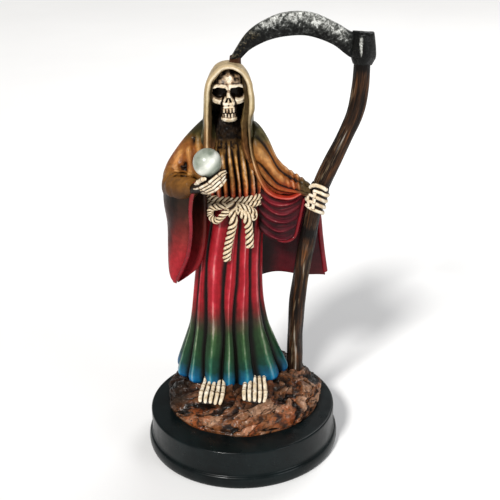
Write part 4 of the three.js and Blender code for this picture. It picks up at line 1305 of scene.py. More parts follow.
@dataclass
class Sleeves:
    """The mantle over both arms, the hanging sleeves and their rolled red edges.

    The rows are, for the pearl arm and the edges, a path with its half sizes; for the hanging sleeve, height
    and the x and y of its front edge, its outermost line and its back; for the shawl, x, and the middle and
    half size in depth and in height; for the flap, height, right end, and depth at both ends; for the mouth,
    height and right end; and for the strokes, what scored takes.
    """

    pearl_arm: Rows = (
        (-5.0, 5.0, 134, 7.0, 6.0), (-9.5, 4.8, 129, 8.8, 7.5), (-15.5, 3.6, 121, 9.6, 9.0),
        (-21.2, 1.0, 112.5, 9.8, 9.4), (-23.6, -4.2, 108.8, 8.2, 7.4), (-22.0, -9.8, 110.2, 6.0, 5.6),
        (-19.2, -14.0, 112.8, 3.9, 3.7), (-17.8, -15.8, 113.8, 2.8, 2.7),
    )
    hanging: Rows = (
        (64.2, -27.5, -5.6, -28.6, -4.6, -26.6, -4.4), (67, -26.9, -6.4, -30.0, -3.4, -22.0, -3.6),
        (71.7, -24.6, -8.0, -30.6, -2.2, -17.2, -4.2), (79.7, -21.6, -10.0, -30.5, -1.4, -14.4, -4.8),
        (92, -19.8, -12.2, -30.3, -0.4, -12.9, -5.2), (102, -19.4, -14.0, -31.5, 0.6, -12.6, -5.2),
        (111, -18.4, -15.0, -31.4, 1.4, -13.0, -4.6),
    )
    arm_strokes: Rows = (
        (-19.1, -3.7, 124.7, -19.4, -7.0, 114.8, 1.4, 1.5),
        (-21.2, -6.0, 119.6, -21.4, -8.0, 115.0, 1.0, -1.8),
        (-23.0, -6.0, 118.4, -22.4, -7.8, 115.2, 0.8, -0.7),
        (-25.0, -5.2, 118.0, -24.2, -6.6, 116.2, 1.2, 1.0),
        (-25.4, -7.2, 114.9, -22.0, -9.0, 114.7, 1.2, -0.4),
        (-21.4, -9.4, 114.8, -17.6, -12.6, 115.7, 0.8, -1.3),
        (-15.6, -2.0, 129.7, -15.3, -5.2, 124.6, 1.3, 0.8),
        (-17.5, -1.2, 129.1, -17.2, -6.0, 120.5, 1.0, -1.5),
        (-13.4, -1.6, 131.0, -13.2, -4.4, 125.4, 0.9, -0.8),
        (-23.4, -2.6, 123.0, -25.6, -5.0, 118.0, 1.6, 0.5),
    )
    shawl_outline: Rows = (
        (0, 4.4, 116.0, 6.0, 8.0), (4, 3.6, 119.6, 7.6, 10.0), (7.2, 2.4, 122.6, 9.4, 12.2),
        (10, 1.4, 121.4, 9.4, 12.2), (13.5, 0.0, 117.0, 8.4, 11.4), (17, -1.6, 112.4, 7.0, 8.2),
        (20, -2.4, 110.4, 6.0, 6.3), (24, -3.0, 108.6, 4.9, 4.6), (28, -3.5, 107.2, 4.0, 3.5),
        (31, -3.8, 105.6, 3.3, 2.9),
    )
    shawl_valleys: Sequence[float] = (-2.9, -2.35, -1.85, -1.35, -0.75, 0.1, 1.2, 2.4)
    flap: Rows = (
        (59.5, 39.0, 9.5, 8.6), (70, 37.6, 8.6, 7.4), (80, 36.4, 7.6, 6.2), (91, 35.2, 6.0, 4.2),
        (100, 33.4, 3.4, 1.2), (108, 30.0, -0.5, -1.8),
    )
    mouth: Rows = ((82, 23.4), (84.6, 24.5), (92, 26.2), (96, 27.0), (99, 27.9), (107, 29.0))
    edges: Sequence[Rows] = (
        (
            (-16.6, -15.8, 115, 0.9), (-18.6, -14.9, 108, 0.9), (-19.5, -13.8, 101, 0.85),
            (-19.8, -12.0, 91, 0.85), (-21.6, -9.9, 79.7, 0.85), (-24.6, -7.9, 71.7, 0.85),
            (-27.2, -5.9, 65.6, 0.8),
        ),
        (
            (28.6, -3.2, 102, 0.75), (27.7, -3.3, 97.5, 0.75), (26.3, -3.4, 91, 0.75),
            (24.6, -3.6, 84.8, 0.7), (21.5, -4.6, 83.0, 0.7), (17.5, -4.8, 83.6, 0.7),
            (13.0, -3.8, 87.0, 0.65),
        ),
        (
            (33.0, 1.9, 101, 1.1), (35.2, 5.2, 91, 1.2), (36.4, 7.6, 80, 1.2), (37.6, 9.4, 70, 1.2),
            (38.9, 10.4, 60.8, 1.2),
        ),
    )
    wall: float = 2.0
    shawl_rings: int = 120
    shawl_samples: int = 24
    sleeve_rings: int = 130
    panel_columns: int = 40
    festoon_columns: int = 70
    flap_points: int = 90

    def arm(self) -> Skin:
        """The mantle round the arm: a tube with creases that gather at the elbow's inner side."""

        def crease(share: Array, angle: Array) -> Array:
            """Small folds where the mantle gathers at the elbow."""
            return 0.3 * bell(share, 0.72, 0.1) * np.sin(TURN * 7.0 * share + 1.4 * np.sin(angle)) ** 2

        def reach(share: Array, angle: Array) -> Array:
            """A share of 1, less in the folds."""
            return 1.0 - 0.11 * crease(share, angle)

        def relief(share: Array, angle: Array) -> Array:
            """Crest between the folds, for painted highlights, lower towards the hand."""
            return np.clip(0.78 - 1.1 * crease(share, angle), 0.0, 1.1) - 0.2 * ease(share, 0.7, 0.9)

        def stain_and_shade(share: Array, angle: Array) -> Array:
            """Painted shade in the folds."""
            return np.clip(1.1 * crease(share, angle) - 0.35, 0.0, 0.9)

        return scored(Tube(self.pearl_arm, steps=170, sides=140).skin(reach, stain_and_shade, relief), self.arm_strokes)

    def hanging_sleeve(self) -> Skin:
        """Two curved panels from the mouth's edge round the outermost line to the back, with a wall.

        A panel bends from one line to another towards a third: one less the share squared times the first,
        twice the share times one less it times the third, and the share squared times the second.
        """

        def bend(start: Array, towards: Array, stop: Array, t: Array) -> Array:
            """One coordinate of the bend at the given shares."""
            return (1 - t) ** 2 * start + 2 * t * (1 - t) * towards + t**2 * stop

        low, high = 64.2, 110.0
        z = (low + (high - low) * np.linspace(0.0, 1.0, self.sleeve_rings) ** 1.2)[:, None]
        fx, fy, ox, oy, bx, by = read(self.hanging, z)
        t = np.linspace(0.0, 1.0, self.panel_columns)
        front = together(bend(fx, ox - 0.6, ox, t), bend(fy, fy + 0.6, oy, t))
        rear = together(bend(ox, ox + 0.8, bx, t[1:]), bend(oy, oy + 6.5, by, t[1:]))
        line = np.concatenate([front, rear], axis=1)
        step = np.gradient(line, axis=1)
        normal = unit(together(step[..., 1], -step[..., 0]))
        wall = np.minimum(0.9 * self.wall, 0.3 * np.hypot(fx - ox, fy - oy))[..., None]
        count = np.arange(line.shape[1])
        ripple = 0.3 * np.sin(np.linspace(0.0, 11.0, len(count)) + z / 12.0)
        lines = line + 0.5 * ripple[..., None] * normal, line + wall * normal
        outer, inner = (together(flat[..., 0], flat[..., 1], z) for flat in lines)
        # The inside is painted lighter with a high crest, with painted shade near the robe and towards the
        # mouth.
        inside = 0.5 * (1.0 - ease(count, 6.0, 14.0)) + 0.5 * ease(count, 36.0, 44.0)
        return sheet(outer, inner, (0.0, inside), (0.6 + ripple, 0.86))

    def shawl(self) -> Skin:
        """Ellipses across the arm, drawn in at the valleys of the long folds."""
        x = np.linspace(0.0, 31.0, self.shawl_rings)[:, None]
        cy, cz, b, c = read(self.shawl_outline, x)
        angles, up = folds(np.tile(self.shawl_valleys, (len(x), 1)), self.shawl_samples)
        sine = np.sin(angles)
        bunch = bell(x, 26.0, 4.5) * np.sin(x * 2.7 + 1.5 * sine) * (sine > -0.2)
        reach = 1.0 - 0.15 * ease(x, 2.0, 11.0) * (1.0 - up) + 0.09 * bunch
        reach = reach + 0.16 * bell(x, 26.0, 5.0) * bell(sine, 1.0, 0.5)
        up = np.clip(up + 0.25 * bunch, 0.0, 1.1)
        fade = ease(x, 4.0, 12.0)
        # Painted shade in the folds' valleys; the crest puts painted highlights on their ridges.
        shade_and_tint = 0.62 * np.clip((0.74 - up) / 0.5, 0.0, 1.0) * fade
        points = together(x, cy + b * reach * np.cos(angles), cz + c * reach * sine)
        return Skin(points, shade_and_tint, 0.6 + (up**1.5 - 0.6) * fade)

    def festoons(self) -> Skin:
        """The sleeve's front: five sagging folds, each a half wave, between the robe and the mouth."""
        low, high, left, y = 87.4, 107.0, 9.0, -3.4
        v = np.linspace(0.0, 1.0, self.sleeve_rings)[:, None]
        s = np.linspace(0.0, 1.0, self.festoon_columns)
        z = low + (high - low) * v
        (right,) = read(self.mouth, z - 1.5)
        x = left + (right - left) * s
        sag = 4.8 * (1.0 - ((x - 19.4) / 9.5) ** 2)
        phase = np.mod(5.0 * (v + 0.012 * np.sin(9.0 * s + 14.0 * v)), 1.0)
        wave = bell(phase, 0.42, 0.2, 1.6) + 0.35 * bell(phase, 0.88, 0.1) * bell(s, 0.62, 0.2)
        fade = np.sin(np.pi * np.clip(s * 1.05, 0.0, 1.0)) ** 0.7
        belly = 1.8 * np.sin(np.pi * s)
        front = together(x, y - belly - 1.25 * wave * fade, z - sag)
        back = together(x, y + self.wall - belly, z - sag)
        # Painted shade in the folds' hollows and next to the robe, and over all of the hidden back.
        stain_and_shade = np.clip(0.7 - 1.6 * wave, 0.0, 1.0) * fade + 0.75 * (1.0 - ease(s, 0.0, 0.2))
        return sheet(front, back, (stain_and_shade, 1.0), (0.3 + 0.75 * wave * fade, 0.3))

    def back_flap(self) -> Skin:
        """The sleeve's back panel: a wavy sheet between the robe and its outer edge."""
        low, high, left = 60.4, 107.0, 8.0
        s = np.linspace(0.0, 1.0, self.flap_points)
        z = (low + (high - low) * s)[:, None]
        right, near, far = read(self.flap, z)
        fade = np.clip((104.0 - z) / 30.0, 0.0, 1.0)
        wave = np.sin(8.2 * s - 0.6) * fade
        lift = (1.6 * np.sin(np.pi * s) - 0.9 * s) * (1.0 - ease(z, low, 64.0))
        front = together(left + (right - left) * s, near + (far - near) * s + 1.5 * wave, z + lift)
        # Painted shade, darkest low by the robe and on one side of each wave.
        dim = np.clip(0.55 - 0.6 * s + 0.3 * np.cos(8.2 * s - 0.6) * fade, 0.0, 1.0)
        return sheet(front, front + np.array([0.0, self.wall, 0.0]), (dim, 0.1), (0.6, 0.6 + 0.2 * wave))

    def rolled_edge(self, stops: Rows, shine: float) -> Skin:
        """A thin tube along a mouth, whose crest is the shine and the sine of the angle: a painted highlight
        on one side.
        """
        tube = Tube(stops, steps=90, sides=14, up=FORWARD, blunt=0.02)
        return tube.skin(None, 0.0, lambda share, angle: shine + 0.3 * np.sin(angle))

    def build(self) -> list[bpy.types.Object]:
        """Makes the arm, the shawl, the hanging sleeves and their edges."""
        over = (
            Band(118, "0c0604", "301a10", "543220"), Band(124, "100904", "3a2212", "6a4424"),
            Band(129, "1c0f05", "5e3c1a", "9c6e38"), Band(133, "2a1606", "8a5c28", "e0a862"),
            Band(138, "2c1606", "84481a", "e09a58"), Band(143, "2c1606", "925626", "cf9550"),
            Band(148, "100c05", "38300f", "6e5c30"), Band(153, "060704", "1a1e14", "3c4030"),
        )
        under = (
            Band(82, "3a0406", "a01c26", "c83842"), Band(95, "3a0406", "981a22", "c03038"),
            Band(104, "240405", "7a2220", "a83c38"), Band(111, "140405", "5c1e18", "8c3a30"),
            Band(117, "0a0403", "3c1c15", "6a3626"), Band(124, "0a0604", "2a1b11", "50382a"),
        )
        arm = ClothPaint("pearl_arm_paint", over, waver=3.0, stipple=0.22, glint=0.05).material()
        shawl = ClothPaint(
            "shawl_paint",
            (
                Band(120, "4a0606", "b0201c", "d83a2c"), Band(125, "3c0e06", "903a1a", "bc6434"),
                Band(131, "2c1004", "82481a", "c88a50"), Band(139, "2c1204", "a0642e", "dca468"),
                Band(144, "241204", "8a5c2c", "c8985c"), Band(148, "141005", "4e4426", "8a7c50"),
                Band(153, "080a04", "2a2a1a", "54543a"),
            ),
            (Patch((29.5, -5.5, 108.5), 1.5, 8.0, "4e3c20", 0.8),),
            waver=4.0,
            stipple=0.24,
            ridge=0.9,
            glint=0.25,
        ).material()
        sleeve = ClothPaint("hanging_sleeve_paint", under, waver=3.0).material()
        wine = ClothPaint(
            "wide_sleeve_paint",
            (
                Band(78, "1a0406", "560f18", "8a1a24"), Band(92, "0e0204", "3c0c14", "701c24"),
                Band(103, "0e0204", "44101a", "7c2a32"), Band(112, "140305", "54141e", "90343a"),
                Band(124, "200406", "781822", "b03a3e"),
            ),
            waver=4.0,
        ).material()
        edge = ClothPaint(
            "sleeve_edge_paint",
            (
                Band(78, "280205", "740c16", "b02434"), Band(118, "280205", "740c18", "b83040"),
                Band(134, "280606", "7a1c18", "c85048"),
            ),
            waver=3.0,
            gloss=Gloss(0.32, 0.06, 0.12, 0.14, 0.2),
        ).material()
        edges = [self.rolled_edge(stops, shine) for stops, shine in zip(self.edges, (0.6, 0.3, 0.6))]
        return [
            make_piece("pearl_arm", [self.arm()], arm),
            make_piece("shawl", [self.shawl()], shawl),
            make_piece("hanging_sleeve", [self.hanging_sleeve()], sleeve),
            make_piece("wide_sleeve_front", [self.festoons()], wine),
            make_piece("wide_sleeve_back", [self.back_flap()], wine),
            make_piece("sleeve_edges", edges, edge),
        ]


@dataclass
class Scythe:
    """The pole with its bark, the socket, the blade and the tab that joins its tip to the hood.

    The blade's rows are a share of its length, x and z of its back, x and z of its cutting edge, and its
    depth. The section's are a share of the way from back to edge and a share of the half thickness.
    """

    path: Rows = (
        (24.9, 12.4, 6), (24.9, 10.0, 24), (25.4, 7.0, 38), (26.3, 4.3, 52.5), (27.6, 1.8, 65),
        (29.6, -1.2, 80), (31.9, -3.6, 94), (35.2, -4.0, 106.5), (40.5, -3.5, 119), (45.6, -2.7, 130),
        (49.4, -2.0, 139), (51.4, -1.2, 149), (52.1, -0.5, 158.5), (52.6, 0.0, 166),
    )
    radius: float = 3.5
    socket_stops: Rows = (
        (52.1, -0.4, 158.6, 3.7), (52.3, -0.2, 160.6, 4.5), (52.5, 0.0, 163, 4.9), (52.3, 0.0, 170.7, 4.4),
    )
    blade_rows: Rows = (
        (0, 50.5, 170.6, 49.0, 160.6, 0.0), (0.06, 46.8, 172.1, 46.2, 162.1, 0.0),
        (0.2, 41.4, 175.4, 40.0, 166.8, 0.2), (0.4, 31.6, 179.6, 30.4, 170.3, 0.7),
        (0.55, 22.6, 180.0, 22.6, 170.4, 1.2), (0.7, 14.4, 177.6, 14.6, 168.8, 1.7),
        (0.85, 5.6, 171.8, 7.2, 165.2, 2.4), (1, -1.4, 161.6, 3.0, 161.2, 3.0),
    )
    half_thickness: float = 1.6
    tab: Rows = ((0.3, 4.2, 157.6, 2.9, 1.9), (0.5, 3.6, 159.6, 2.5, 1.5), (0.7, 3.0, 162.2, 2.3, 1.4))
    section: Rows = (
        (0.0, 0.7), (0.03, 0.9), (0.1, 1.0), (0.22, 1.0), (0.34, 0.98), (0.46, 0.95), (0.56, 0.92),
        (0.6, 0.84), (0.68, 0.7), (0.78, 0.52), (0.88, 0.34), (0.96, 0.2), (1.0, 0.08),
    )
    blade_rings: int = 240
    sharp: float = 32.0

    def rod(self, steps: int, sides: int) -> Tube:
        """The pole without its bark."""
        return Tube([(*stop, self.radius) for stop in self.path], steps, sides, REARWARD)

    def bark(self, share: Array, angle: Array) -> Array:
        """Ridges of bark, from noise on the angle's circle and the length."""
        return rough(together(2.2 * np.cos(angle), 2.2 * np.sin(angle), share * 8.0), 1.0, 21, 3)

    def pole(self) -> Skin:
        """A tube whose radius waves slowly, with bark ridges that wander round it as they run along."""

        def reach(share: Array, angle: Array) -> Array:
            """A share of 1 with slow swellings and the bark."""
            slow = 0.04 * np.sin(31.0 * share + 2.0 * angle) + 0.04 * np.sin(17.0 * share - 3.0 * angle)
            return 1.0 + slow + 0.055 * self.bark(share, angle)

        def stain_and_shade(share: Array, angle: Array) -> Array:
            """Painted shade: black above and below the fist and at the socket, and darker on both flanks."""
            near = bell(share, 0.605, 0.022) + bell(share, 0.5, 0.018) + bell(share, 0.955, 0.02)
            flank = 0.75 * np.abs(np.cos(angle)) ** 5 * (1.0 - 0.6 * self.bark(share, angle))
            return np.clip(near + flank, 0.0, 0.85)

        def relief(share: Array, angle: Array) -> Array:
            """The bark's ridges, and a painted highlight down the front that lies above them all."""
            bark = self.bark(share, angle)
            highlight_streak = bell(angle - 1.5 * np.pi - 0.2 * np.sin(23.0 * share), 0.0, 0.1) * (0.3 + bark)
            return np.clip(0.5 + 0.7 * bark, 0.0, 1.0) + np.clip(highlight_streak, 0.0, 1.0)

        return self.rod(steps=400, sides=60).skin(reach, stain_and_shade, relief)

    def blade(self) -> Skin:
        """A wedge across each station of the blade: thick back, flat cheek, bevel to the cutting edge."""
        along = np.linspace(0.0, 1.0, self.blade_rings)[:, None]
        bx, bz, cx, cz, y = read(self.blade_rows, along)
        half = np.array(self.section)
        s, side = np.concatenate([half * [1.0, -1.0], half[::-1]]).T
        points = together(bx + (cx - bx) * s, y + self.half_thickness * side, bz + (cz - bz) * s)
        points[..., 1] += 0.16 * rough(points, 3.2, 31, 3) * np.sign(side) * (np.abs(side) > 0.3)
        clouds = 0.5 + 0.8 * (0.5 + 0.5 * rough(points, 5.0, 33, 2))
        polished = (1.0 - 0.75 * ease(s, 0.3, 0.75)) * (0.62 + 0.5 * bell(along, 0.42, 0.16)) * clouds
        polished = polished * ease(along, 0.0, 0.1) + 0.55 * (s < 0.3) * bell(along, 0.66, 0.1)
        gold = 0.45 * ease(along, 0.72, 0.9) * (s < 0.6)
        return Skin(points, gold, np.clip(polished - 0.4 * ease(along, 0.7, 0.85), 0.0, 1.0))

    def socket(self) -> Skin:
        """The squarish socket: a tube flared upwards, dented, with a rounded upper edge."""
        x, y, top, wide = self.socket_stops[-1]
        shoulder = ((x, y, top - 0.5, wide), (x, y, top, wide - 0.35), (x, y, top + 0.25, wide - 1.0))

        def reach(share: Array, angle: Array) -> Array:
            """A circle pushed out at four corners, with dents."""
            dents = rough(together(3.0 * np.cos(angle), 3.0 * np.sin(angle), 9.0 * share), 2.0, 41, 3)
            return 1.0 + 0.06 * np.cos(4.0 * angle) + 0.02 * dents

        def highlight_streak(share: Array, angle: Array) -> Array:
            """A painted highlight: one upright line left of the front."""
            return 2.2 * bell(angle, 4.42, 0.07 + 0.14 * share) * bell(share, 0.6, 0.38, 4.0) - 0.6

        stops = [*self.socket_stops[:-1], *shoulder]
        return Tube(stops, steps=60, sides=48, up=REARWARD).skin(reach, 0.0, highlight_streak)

    def build(self) -> list[bpy.types.Object]:
        """Makes the pole, the blade with its socket, and the tab."""
        metal = BladePaint().material()
        bands = (Band(174, "5a3c28", "b08a68", "e8ccb0"), Band(181, "3a2014", "90684e", "c4a084"))
        tab = ClothPaint("tab_paint", bands, waver=1.5).material()
        web = Tube(self.tab, steps=20, sides=20, up=REARWARD)
        wood = WoodPaint().material()
        socket_metal = BladePaint("socket_paint", Gloss(0.3, 0.05, 0.08, 0.12, 0.12)).material()
        return [
            make_piece("scythe_pole", [self.pole()], wood),
            make_piece("scythe_blade", [self.blade()], metal, sharp=self.sharp),
            make_piece("scythe_socket", [self.socket()], socket_metal),
            make_piece("blade_tab", [web.skin()], tab),
        ]


def bone(stops: Rows, joints: Sequence[float], up: Triple) -> Skin:
    """A finger or toe: a blunt tube, swollen at its joints, with painted shade along its sides and
    underneath, and a dark line at each joint.

    Args:
        stops: The path, with half width and half height.
        joints: Shares of the length where the joints are.
        up: Direction that the bone's outer side faces.

    Returns:
        The bone's skin.
    """

    def bumps(share: Array, width: float) -> Array:
        """Bumps of one width at the joints."""
        return sum(bell(share, joint, width) for joint in joints)

    def reach(share: Array, angle: Array) -> Array:
        """Slim shafts between swollen joints."""
        return 0.86 + 0.24 * bumps(share, 0.05)

    def stain_and_shade(share: Array, angle: Array) -> Array:
        """Painted shade on both flanks and underneath, and a dark line at each joint."""
        flank = 0.9 * np.abs(np.cos(angle)) ** 8 + 0.9 * (np.sin(angle) < -0.3)
        return np.clip(flank + 0.55 * bumps(share, 0.018), 0.0, 1.0)

    return Tube(stops, steps=44, sides=16, up=up, blunt=0.05).skin(reach, stain_and_shade)


def row_of_bones(
    stops: Rows, joints: Sequence[float], up: Triple, cuts: Sequence[float], fill: float
) -> list[Skin]:
    """Bones side by side across a band whose path and half width are given, over a core painted as shade.

    Each bone's centre stands off the band's own by the half width times its share across, and its half
    width is the band's over the count, times the fill.

    Args:
        stops: The band's path, with half width and half height.
        joints: Shares of the length where the joints are.
        up: Direction that the outer side faces.
        cuts: How much of the length each bone runs, one number for each bone.
        fill: Share of the width that is bone.

    Returns:
        The core, then one skin for each bone.
    """
    steps, fewest = 40, 6
    band = Tube(stops, steps, up=up).spine()
    broad, high = band.sizes[:, :1], band.sizes[:, 1:]
    core = np.concatenate([band.centre - 0.15 * high * band.rise, 0.9 * broad, 0.6 * high], axis=1)
    skins = [Tube(core[::3].tolist(), steps=30, up=up, blunt=0.05).skin(None, 1.0)]
    wide = broad / len(cuts) * fill
    tall = np.maximum(high * 0.6, wide * 0.85)
    for number, cut in enumerate(cuts):
        across = 1.0 - (2.0 * number + 1.0) / len(cuts)
        keep = max(int(round(steps * cut)), fewest)
        middle = band.centre + broad * across * band.side + (high - tall) * band.rise
        path = np.concatenate([middle, wide, tall], axis=1)[: keep + 1 : 2]
        skins.append(bone(path.tolist(), joints, up))
    return skins


@dataclass
class Bones:
    """Both hands and both feet.

    Palm, fingers, thumb, wrist and feet are paths with half sizes. The fist's rows are angles round the pole
    and heights over the fist's middle.
    """

    palm: Rows = (
        (-18.2, -14.6, 111.6, 2.5, 2.1), (-15.4, -17.4, 113.2, 3.0, 2.4), (-12.2, -19.8, 115.4, 3.8, 3.0),
        (-8.8, -21.4, 116.8, 3.4, 2.8),
    )
    fingers: Rows = (
        (-15.8, -17.5, 112.5, 2.6, 1.3), (-13.2, -21.3, 114.0, 3.2, 1.4), (-10.2, -23.8, 116.2, 3.3, 1.4),
        (-7.5, -24.0, 118.5, 3.3, 1.3), (-5.4, -22.9, 120.3, 3.1, 1.2), (-4.2, -21.4, 121.0, 2.6, 0.9),
    )
    fingers_out: Triple = (0.0, -0.88, -0.47)
    thumb: Rows = (
        (-16.6, -17.0, 113.8, 1.2), (-15.2, -21.0, 116.6, 1.2), (-13.6, -24.2, 118.9, 1.1),
        (-11.7, -26.2, 120.2, 0.9),
    )
    fist_middle: float = 100.6
    lean: Triple = (0.24, -0.12, 1.0)
    fist_fingers: Sequence[Rows] = (
        ((-2.2, 5.6), (-1.9, 5.9), (-1.5, 5.9), (-0.9, 5.2), (0.3, 4.4)),
        ((-3.3, 2.8), (-2.6, 3.1), (-2.0, 3.4), (-1.3, 3.0), (-0.7, 2.3), (0.3, 1.5)),
        ((-3.2, 0.1), (-2.4, 0.4), (-1.9, 0.7), (-1.1, 0.1), (-0.3, -1.0), (0.3, -1.4)),
        ((-2.8, -1.9), (-2.2, -2.1), (-1.7, -2.3), (-1.0, -2.8), (-0.2, -3.8), (0.3, -4.0)),
    )
    fist_thumb: Rows = (
        (-3.3, 1.0), (-3.1, 3.0), (-2.85, 5.9), (-2.3, 8.1), (-1.8, 8.6), (-1.35, 8.3), (-0.9, 7.5),
    )
    knuckles: Rows = ((-2.15, 6.4), (-2.0, 4.0), (-1.9, 1.4), (-1.8, -2.6))
    fist_heel: Rows = ((-3.05, 5.0), (-2.85, 2.7), (-2.55, 0.4), (-2.2, -2.4))
    wrist: Rows = (
        (25.0, -2.0, 105.5, 2.4, 2.8), (28.2, -1.6, 104.0, 2.2, 3.2), (30.2, -2.2, 101.6, 2.0, 5.0),
        (31.8, -3.6, 100.8, 1.6, 4.8),
    )
    feet: Sequence[Rows] = (
        (
            (-11.9, -1.0, 14.2, 5.1, 2.0), (-12.4, -5.2, 13.2, 5.4, 2.0), (-13.0, -9.0, 12.0, 5.9, 1.9),
            (-13.6, -12.8, 10.9, 6.2, 1.9), (-14.1, -16.0, 10.0, 6.0, 1.6), (-14.3, -17.8, 9.2, 5.4, 0.9),
        ),
        (
            (6.0, -1.0, 14.4, 5.0, 2.0), (6.0, -5.0, 13.4, 5.3, 2.0), (5.9, -8.8, 12.2, 5.8, 1.9),
            (5.8, -12.4, 11.1, 6.1, 1.9), (5.7, -15.6, 10.2, 5.9, 1.6), (5.6, -17.4, 9.4, 5.3, 0.9),
        ),
    )

    def pearl_hand(self) -> list[Skin]:
        """Palm painted mostly as shade, four fingers under the pearl that curl up beyond it, and the thumb in
        front.
        """
        palm = Tube(self.palm, steps=24).skin(None, 0.85)
        fingers = row_of_bones(self.fingers, (0.3, 0.56, 0.8), self.fingers_out, (0.9, 1.0, 0.98, 0.9), 0.92)
        return [palm, *fingers, bone(self.thumb, (0.45, 0.8), (-0.3, -0.9, 0.3))]

    def fist(self, pole: Tube) -> list[Skin]:
        """Four fingers and the thumb along circles round the pole, and the wrist and a ring behind painted as
        shade.

        Args:
            pole: The pole, whose middle gives the circles' centre.

        Returns:
            One skin for each bone.
        """
        samples = 18
        middle = pole.spine().centre
        x, y = (np.interp(self.fist_middle, middle[:, 2], middle[:, k]) for k in (0, 1))
        radius = pole.stops[0][3]
        lean = np.array(self.lean)

        def stain_and_shade(share: Array, angle: Array) -> Array:
            """Painted shade between the fingers and towards the pole."""
            return np.clip(0.95 * np.abs(np.sin(angle)) ** 7 + 0.95 * (np.cos(angle) > 0.45), 0.0, 1.0)

        def path(rows: Rows, gap: float, wide: float, tall: float) -> Rows:
            """Points round the pole from angles and heights, lower towards the right, with half sizes."""
            track = Track([(i, *row) for i, row in enumerate(rows)])
            angle, height = track.at(np.linspace(0.0, len(rows) - 1.0, samples)).T
            dx, dy = (radius + gap) * np.cos(angle), (radius + gap) * np.sin(angle)
            points = together(x + dx, y + dy, self.fist_middle - 0.34 * dx) + height[:, None] * lean
            return np.concatenate([points, np.broadcast_to([wide, tall], (samples, 2))], axis=1).tolist()

        ring = [(angle, 2.8) for angle in np.linspace(-3.7, 0.5, 12)]
        core = [(*stop[:3], 0.75 * stop[3], 0.85 * stop[4]) for stop in self.wrist]
        fingers = [Tube(path(rows, 0.35, 0.95, 0.86), 80, 18, self.lean, 0.03) for rows in self.fist_fingers]
        thumb = Tube(path(self.fist_thumb, 0.45, 1.0, 0.95), 70, 18, self.lean, 0.05)
        return [
            *(finger.skin(None, stain_and_shade) for finger in (*fingers, thumb)),
            bone(path(self.knuckles, 0.7, 0.95, 0.8), (0.1, 0.37, 0.64, 0.92), (-0.4, -0.9, 0.0)),
            bone(path(self.fist_heel, 0.45, 0.95, 0.9), (0.3, 0.62, 0.9), (-0.8, -0.6, 0.0)),
            Tube(path(ring, -0.1, 0.7, 5.4), 60, 28, self.lean, 0.03).skin(None, 1.0),
            Tube(core, steps=24, sides=18).skin(None, 1.0),
        ]

    def toes(self, stops: Rows) -> list[Skin]:
        """Five rays of bone over a sole painted as shade."""
        return row_of_bones(stops, (0.2, 0.44, 0.66), UP, (1.0, 1.0, 0.98, 0.95, 0.9), 0.89)

    def build(self, pole: Tube) -> list[bpy.types.Object]:
        """Makes the hands and the feet."""
        paint = BonePaint("bone_paint").material()
        return [
            make_piece("pearl_hand", self.pearl_hand(), paint),
            make_piece("fist", self.fist(pole), paint),
            make_piece("feet", [skin for stops in self.feet for skin in self.toes(stops)], paint),
        ]


